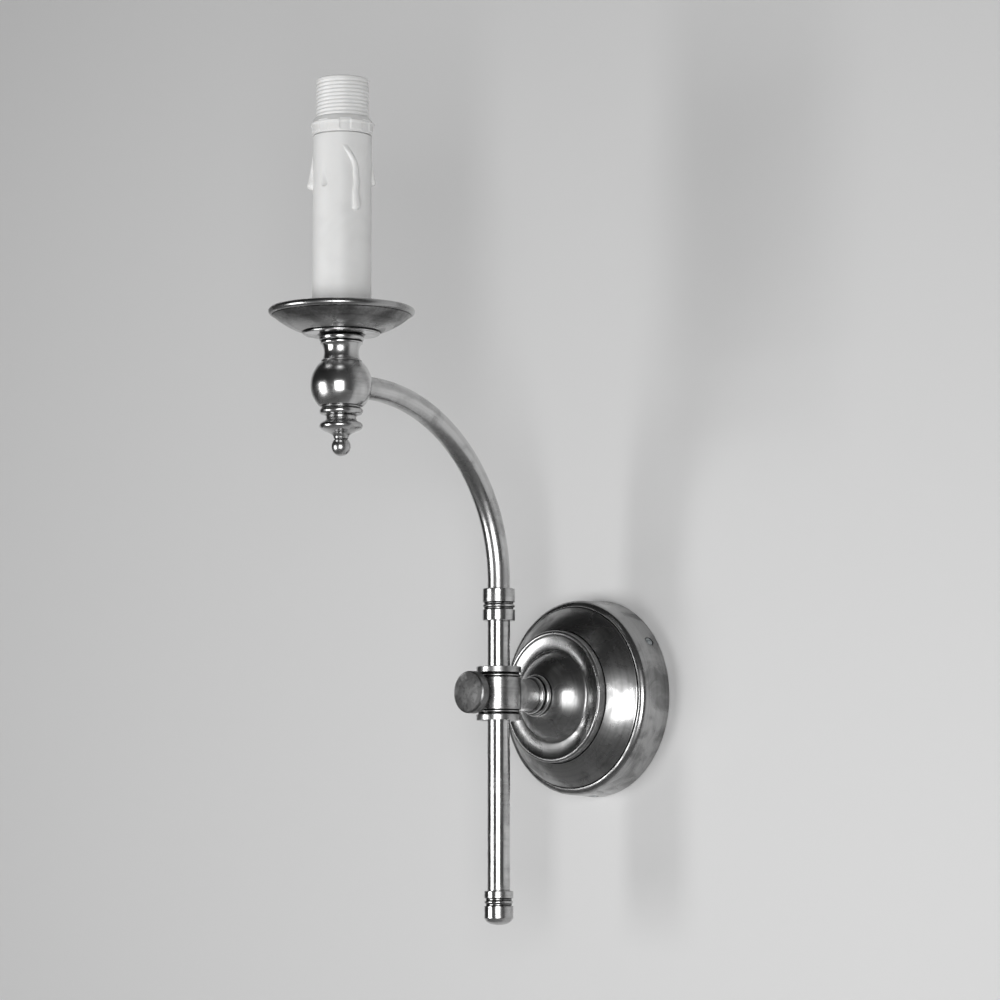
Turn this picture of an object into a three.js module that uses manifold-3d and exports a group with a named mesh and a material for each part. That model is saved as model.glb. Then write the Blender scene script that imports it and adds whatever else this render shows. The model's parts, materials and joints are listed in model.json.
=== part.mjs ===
// Wall light with a candle-style lampholder on a rising, swinging arm.
// Millimetres, +Z up, +Y into the wall. The origin is on the wall, behind the
// middle of the backplate. A round backplate carries a clamp; a rod slides and
// turns in the clamp, and a curved arm on the rod carries the candle.

import * as THREE from 'three';
import { mergeVertices } from 'three/addons/utils/BufferGeometryUtils.js';
import Module from 'manifold-3d';

const wasm = await Module();
wasm.setup();

// ---------------------------------------------------------------- sizes

// fits
const seatGap = 0.15;          // between two pieces that bear on each other
const runGap = 0.09;           // radial, round a turning or sliding rod
const looseGap = 0.4;          // round a screw or a wire in its hole

// backplate, a spun shell: radius and distance from the wall
const plateRadius = 55;
const plateWallDepth = 16.4;   // straight side, wall to the start of the bead
const plateTaper = 0.7;        // how much the side leans in over that depth
const plateBeadRadius = 3.9;
const ovoloOuter = [plateRadius - 4.1, 20.4];
const ovoloInner = [plateRadius - 17.8, 31.8];
const ovoloBulge = 0.7;
const ringRadius = plateRadius - 19.9;   // middle of the raised ring
const ringTop = 36.7;
const ringHalfWidth = 1.6;
const dishRadius = plateRadius - 25.4;   // lowest circle of the dish inside the ring
const dishLevel = 35.1;
const bossRadius = plateRadius - 29.8;   // foot of the domed boss
const bossFoot = 36.7;
const bossBulge = 1.6;
const plateFaceLevel = 47.6;   // flat middle that the collar sits on
const plateSkin = 1.2;         // wall of the spun shell

// wall bracket, a pressed steel pan inside the backplate
const bracketThickness = 1.5;
const bracketDepth = 12;
const bracketClearance = 1.2;  // between the bracket's rim and the plate's side
const wallHoleSpacing = 60;
const wallSlotWidth = 5;
const wallSlotLength = 13;
const cableHoleRadius = 10;

// three side screws that hold the backplate to the bracket
const sideScrewAngles = [33, 153, 273];
const sideScrewLevel = 6.2;
const sideScrewRadius = 1.5;
const sideScrewHead = 2.5;
const sideScrewHeadHeight = 1.0;
const sideScrewReach = 3;      // tip beyond the bracket's rim

// hollow threaded nipple, nut and washers through the backplate
const nippleRadius = 5;
const nippleBore = nippleRadius - 1.5;
const nippleBack = plateFaceLevel - 10.1;
const nutAcrossFlats = 2 * nippleRadius + 4;
const nutThickness = 3.5;
const lockWasherRadius = nippleRadius + 3;
const lockWasherThickness = 0.9;

// turned collar and stub between the backplate and the clamp
const collarRadius = 11.6;
const collarStepRadius = 10.2;
const collarChamfer = 0.75;
const collarLevel = plateFaceLevel + 3.4;
const collarTop = plateFaceLevel + 6.7;
const stubRadius = 8.85;
const stubBore = 5.3;
const stubLength = 11.7;       // collar to the back of the clamp

// rod and curved arm, one size of tube
const rodRadius = 6.25;
const rodBore = rodRadius - 1.65;
const rodBottom = -111;        // from the clamp's middle
const slotWidth = 3.4;         // cable slot up the back of the rod
const slotBottom = 7;          // above the rod's foot
const slotTop = 36;
const ferruleRadius = rodRadius + 2.65;
const ferruleBottom = 39.9;
const ferruleTop = 57.6;
const ferruleGrooveDepth = 0.9;
const armReach = 118;          // rod axis to candle axis
const armRun = 20;             // straight part at the candle's end
const armRise = 3.5;           // straight part above the ferrule
const armBend = armReach - armRun;       // radius of the bend's centre line
const armLevel = ferruleTop + armRise + armBend;
const armSpigot = 2.6;         // how far the tube enters the ball
const couplingLength = 20;     // inner sleeve that joins the rod to the arm
const couplingWall = 1.05;
const edge = 0.45;             // small turned chamfer

// turned knob at the rod's foot: heights from the rod's foot
const finialRadius = rodRadius + 1.7;
const finialTop = rodBottom + 3.6;
const finialShoulder = rodBottom - 11.4;
const finialBottom = rodBottom - 14.9;
const finialGrooveTop = rodBottom - 0.3;
const finialGrooveHeight = 4.4;
const spigotLength = 9;

// clamp on the rod
const clampRadius = rodRadius + 5.75;
const clampFlangeRadius = clampRadius + 0.25;
const clampHalfHeight = 14.7;
const clampFlangeHeight = 3.2;
const clampGrooveDepth = 0.8;
const clampGroove = 0.8;
const clampBead = 0.85;
const chamberRadius = rodRadius + 3.45;  // room for the flex round the bush
const rodReach = collarTop + stubLength + clampRadius;
const bushWall = 1.05;         // split friction bush round the rod
const bushSplit = 0.6;
const bushKeyHeight = 5;
const bearingSpigot = 2;       // depth of each bearing inside the clamp

// thumb screw on the front of the clamp: distances from the rod's axis
const knobRadius = 11.5;
const knobThickness = 5.5;
const knobFace = clampRadius + 11.8;
const knobBevel = 0.9;
const knobNeckRadius = 4;
const knobNeckLength = 3.6;
const knobSkin = 1.5;          // metal between the stud's end and the face
const screwRadius = 2.5;
const padRadius = 2.3;
const padThickness = 1.8;
const tipRadius = 1.2;         // screw tip that the pad turns on
const tipLength = 0.9;

// candle fitting: heights above the arm's level end
const ballRadius = 16.45;
const ballSkin = 3;
const ballTop = 12.3;
const ballFoot = -11.2;
const stemWaistLevel = 17.9;
const stemWaistRadius = 9.3;
const stemBeadRadius = 12.1;
const stemTop = 26.7;
const seatDiscRadius = 20.5;
const seatDiscThickness = 1.4;
const panRadius = 38.9;
const panLip = 41.1;
const panSkin = 1.1;
const candleNippleBottom = 10.5;
const candleNippleTop = 76.9;
const lowerBeadRadius = 11.5;
const lowerWaistRadius = 8;
const lowerFoot = -28.9;
const dropRadius = 5.1;
const dropLevel = -32.8;
const dropStudRadius = 2;
const dropStudHead = 2;        // height of the stud's head, inside the ball

// lampholder with an outer thread and its screw ring
const skirtRadius = 14.1;
const skirtTop = 164.4;
const skirtThreadBottom = 128.9;
const skirtBottom = 102.9;
const skirtSkin = 1.6;
const skirtBore = skirtRadius - skirtSkin;
const skirtLip = skirtRadius - 5.1;      // mouth that the lamp goes through
const threadDepth = 0.5;
const capBottom = 68.9;        // cup that closes the lampholder below
const insertRadius = skirtBore - 2.3;    // inner barrel that carries the contacts
const insertBottom = 108.9;
const insertFloor = 126.4;
const insertTop = 160.4;
const insertStep = 1.6;        // ledge that the screw shell stands on
const shellRadius = insertRadius - 2.6;  // brass screw shell that takes the lamp cap
const shellSkin = 0.6;
const shellTop = 157.4;
const shellBottom = 134.4;
const contactWidth = shellRadius * 0.52;
const contactThickness = 0.6;
const contactTilt = 24;        // degrees
const shadeRingRadius = skirtRadius + 3.1;
const shadeRingWallRadius = skirtRadius + 1.85;
const shadeRingBottom = 133.9;
const shadeRingFlange = 139.5;
const shadeRingTop = 143.2;
const shadeRingGap = 0.25;     // round the skirt's thread
const shadeRingLugs = 8;
const shadeRingNotch = 21;     // degrees of each notch
const shadeRingTurn = 7.7;     // degrees from +X to the first notch

// candle sleeve, a plain tube over the lampholder
const sleeveSkin = 1.3;
const sleeveClearance = 0.3;
const sleeveRadius = skirtRadius + sleeveClearance + sleeveSkin;
const sleeveTop = 133.5;

// wiring
const feedRadius = nippleBore - 0.8;
const flexRadius = feedRadius - 0.5;
const earthWireRadius = 1.1;
const terminalSize = [28, 13, 13];
const terminalMiddle = [0, -27, 9];
const terminalPitch = 9;
const terminalWay = 2;
const terminalWayDrop = 2;     // wire way below the block's middle
const terminalScrewRadius = 1.6;
const terminalScrewLength = 5;
const earthPlace = [0, 30];
const earthScrewRadius = 2;
const earthScrewHead = 3.6;
const slotCut = 0.7;           // width of a screwdriver slot

// facets round turned pieces
const FINE = 32;
const ROUND = 20;
const SMALL = 12;
const TINY = 10;
const TUBE = 18;

// ---------------------------------------------------------------- finishes

const finish = (color, roughness, metalness) => () =>
  new THREE.MeshStandardMaterial({ color, roughness, metalness });

const agedSilver = finish('#a9a6a0', 0.28, 1);
const rawBrass = finish('#b39a5c', 0.4, 1);
const zincSteel = finish('#9aa0a3', 0.45, 1);
const candlePlastic = finish('#dedcd5', 0.45, 0);
const holderPlastic = finish('#e2e1dd', 0.4, 0);
const terminalPlastic = finish('#e8e6df', 0.5, 0);
const flexSheath = finish('#cfcdc8', 0.55, 0);
const bronze = finish('#8a6a45', 0.4, 1);

// ---------------------------------------------------------------- shape tools

const TAU = 2 * Math.PI;
const radians = (degrees) => degrees * Math.PI / 180;

// A closed or axis-to-axis outline of [radius, height] points, listed
// anticlockwise, turned round the Z axis.
const turned = (outline, segments = ROUND) => {
  const points = outline.map(([r, z]) => new THREE.Vector2(r, z));
  const geometry = new THREE.LatheGeometry(points, segments);
  return geometry.rotateX(Math.PI / 2);
};

const ringOutline = (inner, outer, low, high) =>
  [[inner, low], [outer, low], [outer, high], [inner, high], [inner, low]];

const washer = (inner, outer, low, high, segments = ROUND) =>
  turned(ringOutline(inner, outer, low, high), segments);

const rodShape = (radius, low, high, segments = ROUND) =>
  turned([[0, low], [radius, low], [radius, high], [0, high]], segments);

// Points on an arc in the outline's plane, from one angle to another.
const arcPoints = (centre, radius, from, to, steps) =>
  Array.from({ length: steps + 1 }, (_, i) => {
    const a = radians(from + (to - from) * i / steps);
    return [centre[0] + radius * Math.cos(a), centre[1] + radius * Math.sin(a)];
  });

// Points between two ends of an outline, bowed sideways by a bulge.
const bowed = (start, end, bulge, steps) => {
  const [dr, dz] = [end[0] - start[0], end[1] - start[1]];
  const length = Math.hypot(dr, dz);
  return Array.from({ length: steps - 1 }, (_, i) => {
    const t = (i + 1) / steps;
    const lift = 4 * bulge * t * (1 - t) / length;
    return [start[0] + dr * t + dz * lift, start[1] + dz * t - dr * lift];
  });
};

const solidOf = (geometry) => {
  const bare = geometry.index ? geometry.toNonIndexed() : geometry.clone();
  bare.deleteAttribute('normal');
  bare.deleteAttribute('uv');
  const merged = mergeVertices(bare, 1e-4);
  return new wasm.Manifold(new wasm.Mesh({
    numProp: 3,
    vertProperties: new Float32Array(merged.attributes.position.array),
    triVerts: new Uint32Array(merged.index.array),
  }));
};

const geometryOf = (solid) => {
  const mesh = solid.getMesh();
  const geometry = new THREE.BufferGeometry();
  geometry.setAttribute('position', new THREE.BufferAttribute(mesh.vertProperties, 3));
  geometry.setIndex(new THREE.BufferAttribute(mesh.triVerts, 1));
  return geometry;
};

const cut = (body, ...tools) =>
  geometryOf(tools.reduce((rest, tool) => rest.subtract(solidOf(tool)), solidOf(body)));

const join = (body, ...others) =>
  geometryOf(others.reduce((sum, other) => sum.add(solidOf(other)), solidOf(body)));

const box = (width, depth, height, at) =>
  new THREE.BoxGeometry(width, depth, height).translate(...at);

// A round bar lying along +Y from one distance to another.
const barAlongY = (radius, from, to, segments = SMALL) =>
  rodShape(radius, from, to, segments).rotateX(-Math.PI / 2);

const hexNut = (acrossFlats, bore, low, high) => {
  const corner = acrossFlats / Math.sqrt(3);
  return cut(rodShape(corner, low, high, 6), rodShape(bore, low - 1, high + 1, SMALL));
};

const roundShape = (radius, sides) => {
  const points = Array.from({ length: sides }, (_, i) =>
    new THREE.Vector2(radius * Math.cos(TAU * i / sides), radius * Math.sin(TAU * i / sides)));
  return new THREE.Shape(points);
};

// A round section swept along a smooth path.
const sweep = (path, radius, sides, steps, bore = 0) => {
  const section = roundShape(radius, sides);
  if (bore > 0) {
    section.holes.push(roundShape(bore, sides));
  }
  return new THREE.ExtrudeGeometry(section, { steps, extrudePath: path, bevelEnabled: false });
};

const smoothPath = (points) =>
  new THREE.CatmullRomCurve3(points.map((p) => new THREE.Vector3(...p)), false, 'centripetal');

const light = new THREE.Group();
light.name = 'wall_light';

const add = (group, name, geometry, material) => {
  const mesh = new THREE.Mesh(geometry, material());
  mesh.name = name;
  group.add(mesh);
  return mesh;
};

// Pieces on the wall are turned round the wall's normal: local Z points out
// into the room, local Y points up.
const onWall = new THREE.Group();
onWall.rotation.x = Math.PI / 2;
light.add(onWall);

// Pieces on the rod's axis and on the candle's axis stand upright. The candle's
// heights start at the level end of the arm.
const onRod = new THREE.Group();
onRod.position.y = -rodReach;
light.add(onRod);

const onCandle = new THREE.Group();
onCandle.position.y = -rodReach - armReach;
onCandle.position.z = armLevel;
light.add(onCandle);

// ---------------------------------------------------------------- backplate

const plateWallTop = [plateRadius - plateTaper, plateWallDepth];
const collarSeat = plateFaceLevel + seatGap;

const plateOuter = () => [
  [plateRadius, 0],
  plateWallTop,
  ...arcPoints([plateWallTop[0] - plateBeadRadius, plateWallTop[1]], plateBeadRadius, 20, 75, 2),
  ovoloOuter,
  ...bowed(ovoloOuter, ovoloInner, ovoloBulge, 4),
  ovoloInner,
  [ringRadius + ringHalfWidth, ringTop - 1.6],
  [ringRadius + ringHalfWidth / 2, ringTop],
  [ringRadius - ringHalfWidth / 2, ringTop],
  [ringRadius - ringHalfWidth, ringTop - 0.5],
  [dishRadius, dishLevel],
  [bossRadius, bossFoot],
  ...bowed([bossRadius, bossFoot], [collarRadius, plateFaceLevel], bossBulge, 3),
  [collarRadius, plateFaceLevel],
  [nippleRadius + looseGap, plateFaceLevel],
];

const plateInner = () => [
  [nippleRadius + looseGap, plateFaceLevel - plateSkin],
  [collarRadius - plateSkin, plateFaceLevel - plateSkin],
  [bossRadius - plateSkin, dishLevel - plateSkin],
  [ovoloInner[0] - plateSkin, ovoloInner[1] - plateSkin],
  [ovoloOuter[0] - plateSkin, ovoloOuter[1] - plateSkin],
  [plateWallTop[0] - plateSkin, plateWallTop[1]],
  [plateRadius - plateSkin, 0],
];

const backplate = () => {
  const shell = turned([...plateOuter(), ...plateInner(), [plateRadius, 0]], FINE);
  const holes = sideScrewAngles.map((angle) =>
    barAlongY(sideScrewRadius + looseGap, plateRadius - 8, plateRadius + 4, TINY)
      .translate(0, 0, sideScrewLevel)
      .rotateZ(radians(angle - 90)));
  return cut(shell, ...holes);
};
add(onWall, 'backplate', backplate(), agedSilver);

// ---------------------------------------------------------------- wall bracket

const bracketRadius = plateRadius - plateTaper - plateSkin - bracketClearance;
const sideScrewTip = bracketRadius - bracketThickness - sideScrewReach;

const wallSlot = (side) => {
  const half = (wallSlotLength - wallSlotWidth) / 2;
  const middle = side * wallHoleSpacing / 2;
  const end = (at) => rodShape(wallSlotWidth / 2, -1, bracketThickness + 1, TINY).translate(at, 0, 0);
  const web = box(2 * half, wallSlotWidth, bracketThickness + 2, [middle, 0, bracketThickness / 2]);
  return join(web, end(middle - half), end(middle + half));
};

const wallBracket = () => {
  const pan = turned([
    [cableHoleRadius, 0],
    [bracketRadius, 0],
    [bracketRadius, bracketDepth],
    [bracketRadius - bracketThickness, bracketDepth],
    [bracketRadius - bracketThickness, bracketThickness],
    [cableHoleRadius, bracketThickness],
    [cableHoleRadius, 0],
  ], FINE);
  const screwHoles = sideScrewAngles.map((angle) =>
    barAlongY(sideScrewRadius + seatGap, bracketRadius - 4, bracketRadius + 4, TINY)
      .translate(0, 0, sideScrewLevel)
      .rotateZ(radians(angle - 90)));
  return cut(pan, wallSlot(-1), wallSlot(1), ...screwHoles, earthHole());
};

const earthHole = () =>
  rodShape(earthScrewRadius + seatGap, -1, bracketThickness + 1, TINY).translate(...earthPlace, 0);
add(onWall, 'wall_bracket', wallBracket(), zincSteel);

// ---------------------------------------------------------------- side screws

// The head is domed, with a straight slot; the shank reaches through the
// backplate's hole into the bracket's rim.
const sideScrew = () => {
  const headBase = plateRadius + seatGap - sideScrewLevel * plateTaper / plateWallDepth;
  const headTop = headBase + sideScrewHeadHeight;
  const body = turned([
    [0, sideScrewTip],
    [sideScrewRadius, sideScrewTip],
    [sideScrewRadius, headBase],
    [sideScrewHead, headBase],
    [sideScrewHead, headBase + sideScrewHeadHeight / 2],
    [sideScrewHead * 0.7, headTop],
    [0, headTop],
  ], TINY);
  return cut(body, box(3 * sideScrewHead, slotCut, sideScrewHeadHeight, [0, 0, headTop]))
    .rotateX(-Math.PI / 2);
};

sideScrewAngles.forEach((angle, index) => {
  const screw = add(onWall, `side_screw_${index + 1}`, sideScrew(), zincSteel);
  screw.position.z = sideScrewLevel;
  screw.rotation.z = radians(angle - 90);
});

// ---------------------------------------------------------------- middle fixing

const backOfPlate = plateFaceLevel - plateSkin - seatGap;
const lockWasherBack = backOfPlate - lockWasherThickness;
const nutFront = lockWasherBack - seatGap;

add(onWall, 'centre_nipple',
  washer(nippleBore, nippleRadius, nippleBack, collarTop - edge, SMALL), rawBrass);

add(onWall, 'lock_washer',
  washer(nippleRadius + looseGap, lockWasherRadius, lockWasherBack, backOfPlate, SMALL), zincSteel);

add(onWall, 'lock_nut',
  hexNut(nutAcrossFlats, nippleRadius + seatGap, nutFront - nutThickness, nutFront), rawBrass);

// ---------------------------------------------------------------- collar and stub

const collar = () => turned([
  [nippleRadius + seatGap, collarSeat],
  [collarRadius - collarChamfer, collarSeat],
  [collarRadius, collarSeat + collarChamfer],
  [collarRadius, collarLevel - collarChamfer],
  [collarRadius - collarChamfer, collarLevel],
  [collarStepRadius, collarLevel],
  [collarStepRadius, collarTop - collarChamfer],
  [collarStepRadius - collarChamfer, collarTop],
  [nippleRadius + seatGap, collarTop],
  [nippleRadius + seatGap, collarSeat],
], ROUND);
add(onWall, 'collar', collar(), agedSilver);

// The stub's far end is scooped to the clamp's round body, with a gap.
const stub = () => {
  const tube = washer(stubBore, stubRadius, collarTop + seatGap, rodReach, ROUND);
  const scoop = rodShape(clampRadius + 2 * seatGap, -clampHalfHeight, clampHalfHeight, FINE)
    .rotateX(-Math.PI / 2)
    .translate(0, 0, rodReach);
  return cut(tube, scoop);
};
add(onWall, 'stub_tube', stub(), agedSilver);

// ---------------------------------------------------------------- clamp

const flangeFoot = clampHalfHeight - clampFlangeHeight;
const bodyEnd = flangeFoot - seatGap;
const bearingBore = rodRadius + runGap;
const bushOuter = rodRadius + runGap + bushWall;
const bearingDepth = clampFlangeHeight + bearingSpigot;

const clampBody = () => {
  const groove = clampRadius - clampGrooveDepth;
  const grooveAt = bodyEnd - clampGroove;
  const beadAt = grooveAt - clampBead;
  const half = (sign) => [
    [clampRadius, sign * (beadAt - clampGroove)],
    [groove, sign * (beadAt - clampGroove)],
    [groove, sign * beadAt],
    [clampRadius, sign * beadAt],
    [clampRadius, sign * grooveAt],
    [groove, sign * grooveAt],
    [groove, sign * bodyEnd],
  ];
  const body = turned([
    [chamberRadius, -bodyEnd],
    ...half(-1).reverse(),
    ...half(1),
    [chamberRadius, bodyEnd],
    [chamberRadius, -bodyEnd],
  ], ROUND);
  const cableWay = barAlongY(stubBore, 0, clampRadius + 3);
  const screwWay = barAlongY(screwRadius + seatGap, -clampRadius - 3, 0, SMALL);
  return cut(body, cableWay, screwWay);
};
add(onRod, 'clamp_body', clampBody(), agedSilver);

// A bearing closes each end of the clamp: an outer flange, and a spigot that
// carries the rims of the friction bush.
const bushSeat = clampHalfHeight - bearingDepth;
const bearing = () => turned([
  [bearingBore, bushSeat],
  [chamberRadius - seatGap, bushSeat],
  [chamberRadius - seatGap, flangeFoot],
  [clampFlangeRadius, flangeFoot],
  [clampFlangeRadius, clampHalfHeight - edge],
  [clampFlangeRadius - edge, clampHalfHeight],
  [bearingBore, clampHalfHeight],
  [bearingBore, bushSeat],
], ROUND);
add(onRod, 'upper_bearing', bearing(), agedSilver);
add(onRod, 'lower_bearing', bearing(), agedSilver).rotation.y = Math.PI;

// ---------------------------------------------------------------- friction bush

// Split sleeve round the rod. Its key sits in the rod's cable slot, so the
// bush turns with the rod while the rod slides through it. The flex goes in
// through the port above the key.
const bushHalf = bushSeat - seatGap;
const keyInner = rodBore + looseGap;
const keyTop = bushKeyHeight - bushHalf;

const frictionBush = () => {
  const sleeve = washer(rodRadius + runGap, bushOuter, -bushHalf, bushHalf, ROUND);
  const split = box(2 * bushOuter, bushSplit, 3 * bushHalf, [-bushOuter, 0, 0]);
  const portHeight = bushHalf - keyTop;
  const port = box(2 * feedRadius, bushOuter, portHeight, [0, bushOuter, keyTop + portHeight / 2]);
  const keyDepth = bushOuter - bushWall / 2 - keyInner;
  const key = box(slotWidth - 2 * runGap, keyDepth, bushKeyHeight,
    [0, keyInner + keyDepth / 2, keyTop - bushKeyHeight / 2]);
  return join(cut(sleeve, split, port), key);
};
add(onRod, 'friction_bush', frictionBush(), bronze);

// ---------------------------------------------------------------- thumb screw

// A soft pad bears on the bush; the screw's tip turns in the pad's socket.
const padInner = -bushOuter - seatGap;
const padOuter = padInner - padThickness;
const knobBack = knobThickness - knobFace;

const clampPad = () => {
  const slug = barAlongY(padRadius, padOuter, padInner + 1);
  const saddle = rodShape(bushOuter + seatGap, -padRadius - 1, padRadius + 1, FINE);
  const socket = barAlongY(tipRadius + seatGap, padOuter - 1, padOuter + tipLength + seatGap, TINY);
  return cut(slug, saddle, socket);
};
add(onRod, 'clamp_pad', clampPad(), rawBrass);

// Stud and knob are turned round an axis that points out into the room.
const thumbScrew = new THREE.Group();
thumbScrew.rotation.x = Math.PI / 2;
onRod.add(thumbScrew);

const studTip = -padOuter + seatGap;
const studEnd = knobFace - knobSkin;
const stud = () => turned([
  [0, studTip - tipLength],
  [tipRadius, studTip - tipLength],
  [tipRadius, studTip],
  [screwRadius - edge, studTip],
  [screwRadius, studTip + edge],
  [screwRadius, studEnd],
  [0, studEnd],
], SMALL);
add(thumbScrew, 'thumb_screw_stud', stud(), rawBrass);

const knob = () => turned([
  [screwRadius + seatGap, -knobBack - knobNeckLength],
  [knobNeckRadius, -knobBack - knobNeckLength],
  [knobNeckRadius, -knobBack],
  [knobRadius - knobBevel / 2, -knobBack],
  [knobRadius, -knobBack + knobBevel / 2],
  [knobRadius, knobFace - knobBevel],
  [knobRadius - knobBevel, knobFace],
  [0, knobFace],
  [0, studEnd + seatGap],
  [screwRadius + seatGap, studEnd + seatGap],
  [screwRadius + seatGap, -knobBack - knobNeckLength],
], ROUND);
add(thumbScrew, 'thumb_knob', knob(), agedSilver);

// ---------------------------------------------------------------- rod and ferrule

// The rod and the curved arm meet end to end halfway up the ferrule, over an
// inner sleeve.
const ferruleMiddle = (ferruleBottom + ferruleTop) / 2;
const rodTop = ferruleMiddle - seatGap / 2;
const spigotRadius = rodBore - seatGap;

const rod = () => {
  const tube = washer(rodBore, rodRadius, rodBottom, rodTop, ROUND);
  const foot = rodBottom + slotBottom;
  const height = slotTop - foot;
  const slot = box(slotWidth, 2 * rodRadius, height, [0, rodRadius, foot + height / 2]);
  return cut(tube, slot);
};
add(onRod, 'rod', rod(), agedSilver);

// Two fine grooves with a bead between them, from one height to another.
const doubleGroove = (outer, depth, low, high) => {
  const inner = outer - depth;
  const step = (high - low) / 3;
  return [
    [outer, low],
    [inner, low],
    [inner, low + step],
    [outer - 0.1, low + step],
    [outer - 0.1, high - step],
    [inner, high - step],
    [inner, high],
    [outer, high],
  ];
};

const socketRadius = rodRadius + seatGap;
const ferrule = () => turned([
  [socketRadius, ferruleBottom],
  [ferruleRadius - edge, ferruleBottom],
  [ferruleRadius, ferruleBottom + edge],
  ...doubleGroove(ferruleRadius, ferruleGrooveDepth, ferruleMiddle - 1.8, ferruleMiddle + 2.2),
  [ferruleRadius, ferruleTop - edge],
  [ferruleRadius - edge, ferruleTop],
  [socketRadius, ferruleTop],
  [socketRadius, ferruleBottom],
], ROUND);
add(onRod, 'ferrule', ferrule(), agedSilver);

add(onRod, 'inner_coupling', washer(spigotRadius - couplingWall, spigotRadius,
  ferruleMiddle - couplingLength / 2, ferruleMiddle + couplingLength / 2, SMALL), rawBrass);

const rodEndFinial = () => turned([
  [0, finialBottom],
  [finialRadius * 0.42, finialBottom + 0.45],
  [finialRadius * 0.76, finialBottom + 1.6],
  [finialRadius - edge, finialShoulder],
  [finialRadius, finialShoulder + edge],
  ...doubleGroove(finialRadius, ferruleGrooveDepth, finialGrooveTop - finialGrooveHeight,
    finialGrooveTop),
  [finialRadius, finialTop - edge],
  [finialRadius - edge, finialTop],
  [socketRadius, finialTop],
  [socketRadius, rodBottom - seatGap],
  [spigotRadius, rodBottom - seatGap],
  [spigotRadius, rodBottom + spigotLength],
  [0, rodBottom + spigotLength],
], ROUND);
add(onRod, 'rod_end_finial', rodEndFinial(), agedSilver);

// ---------------------------------------------------------------- curved arm

// A quarter bend in the plane square to the wall, from upright to level.
class QuarterBend extends THREE.Curve {
  getPoint(t, target = new THREE.Vector3()) {
    const a = t * Math.PI / 2;
    return target.set(0, -armBend * (1 - Math.cos(a)), armLevel - armBend * (1 - Math.sin(a)));
  }
}

const armEnd = -armReach + ballRadius - armSpigot;
const armPath = new THREE.CurvePath();
armPath.add(new THREE.LineCurve3(
  new THREE.Vector3(0, 0, ferruleMiddle + seatGap / 2),
  new THREE.Vector3(0, 0, armLevel - armBend)));
armPath.add(new QuarterBend());
armPath.add(new THREE.LineCurve3(
  new THREE.Vector3(0, -armBend, armLevel),
  new THREE.Vector3(0, armEnd, armLevel)));
add(onRod, 'arm_tube', sweep(armPath, rodRadius, TUBE, 18, rodBore), agedSilver);

// ---------------------------------------------------------------- ball and stem

const nippleWay = nippleRadius + seatGap;
const studWay = dropStudRadius + seatGap;
const ballCavity = ballRadius - ballSkin;
const ballFloor = ballFoot + ballSkin / 2;
const ballCeiling = ballTop - ballSkin / 2;

// Angle on a circle at which it reaches a height above its middle.
const angleAt = (radius, height) => Math.asin(height / radius) * 180 / Math.PI;

const ball = () => {
  const footAngle = angleAt(ballRadius, ballFoot);
  const topAngle = angleAt(ballRadius, ballTop);
  const floorAngle = angleAt(ballCavity, ballFloor);
  const ceilingAngle = angleAt(ballCavity, ballCeiling);
  const body = turned([
    [studWay, ballFoot],
    ...arcPoints([0, 0], ballRadius, footAngle, topAngle, 7),
    [nippleWay, ballTop],
    [nippleWay, ballCeiling],
    ...arcPoints([0, 0], ballCavity, ceilingAngle, floorAngle, 4),
    [studWay, ballFloor],
    [studWay, ballFoot],
  ], ROUND);
  const socketFloor = ballRadius - armSpigot - seatGap;
  const socket = barAlongY(socketRadius, socketFloor, 2 * ballRadius, ROUND);
  return cut(body, socket, barAlongY(rodBore, 0, ballRadius, SMALL));
};
add(onCandle, 'ball', ball(), agedSilver);

const stemFoot = ballTop + seatGap;
const stem = () => turned([
  [nippleWay, stemFoot],
  [stemWaistRadius + 1.4, stemFoot],
  [stemWaistRadius + 0.6, stemFoot + 1.6],
  [stemWaistRadius, stemWaistLevel],
  [stemWaistRadius + 0.7, stemWaistLevel + 3.2],
  [stemWaistRadius + 1.9, stemWaistLevel + 5],
  [stemBeadRadius, stemTop - 2.6],
  [stemBeadRadius, stemTop - 0.9],
  [stemBeadRadius - 0.9, stemTop],
  [nippleWay, stemTop],
  [nippleWay, stemFoot],
], ROUND);
add(onCandle, 'stem', stem(), agedSilver);

const seatDiscBottom = stemTop + seatGap;
const panBottom = seatDiscBottom + seatDiscThickness + seatGap;
add(onCandle, 'pan_seat', washer(nippleWay, seatDiscRadius, seatDiscBottom,
  seatDiscBottom + seatDiscThickness), agedSilver);

// ---------------------------------------------------------------- drip pan

const panFloor = panBottom + panSkin;
const panFlat = seatDiscRadius + 1;
const dripPan = () => {
  const rise = panLip - panBottom;
  return turned([
    [nippleWay, panBottom],
    [panFlat, panBottom],
    ...bowed([panFlat, panBottom], [panRadius, panBottom + rise * 0.76], 0.7, 4),
    [panRadius, panBottom + rise * 0.76],
    [panRadius, panLip - 0.7],
    [panRadius - 0.8, panLip],
    [panRadius - 1.7, panLip - 0.5],
    ...bowed([panRadius - 2, panBottom + rise * 0.8], [panFlat, panFloor], -0.7, 3),
    [panFlat, panFloor],
    [nippleWay, panFloor],
    [nippleWay, panBottom],
  ], FINE);
};
add(onCandle, 'drip_pan', dripPan(), agedSilver);

add(onCandle, 'candle_nipple', washer(nippleBore, nippleRadius, candleNippleBottom,
  candleNippleTop, SMALL), rawBrass);

const panNutFoot = panFloor + seatGap;
add(onCandle, 'pan_nut',
  hexNut(nutAcrossFlats, nippleWay, panNutFoot, panNutFoot + nutThickness), rawBrass);

// ---------------------------------------------------------------- lower turning

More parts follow.
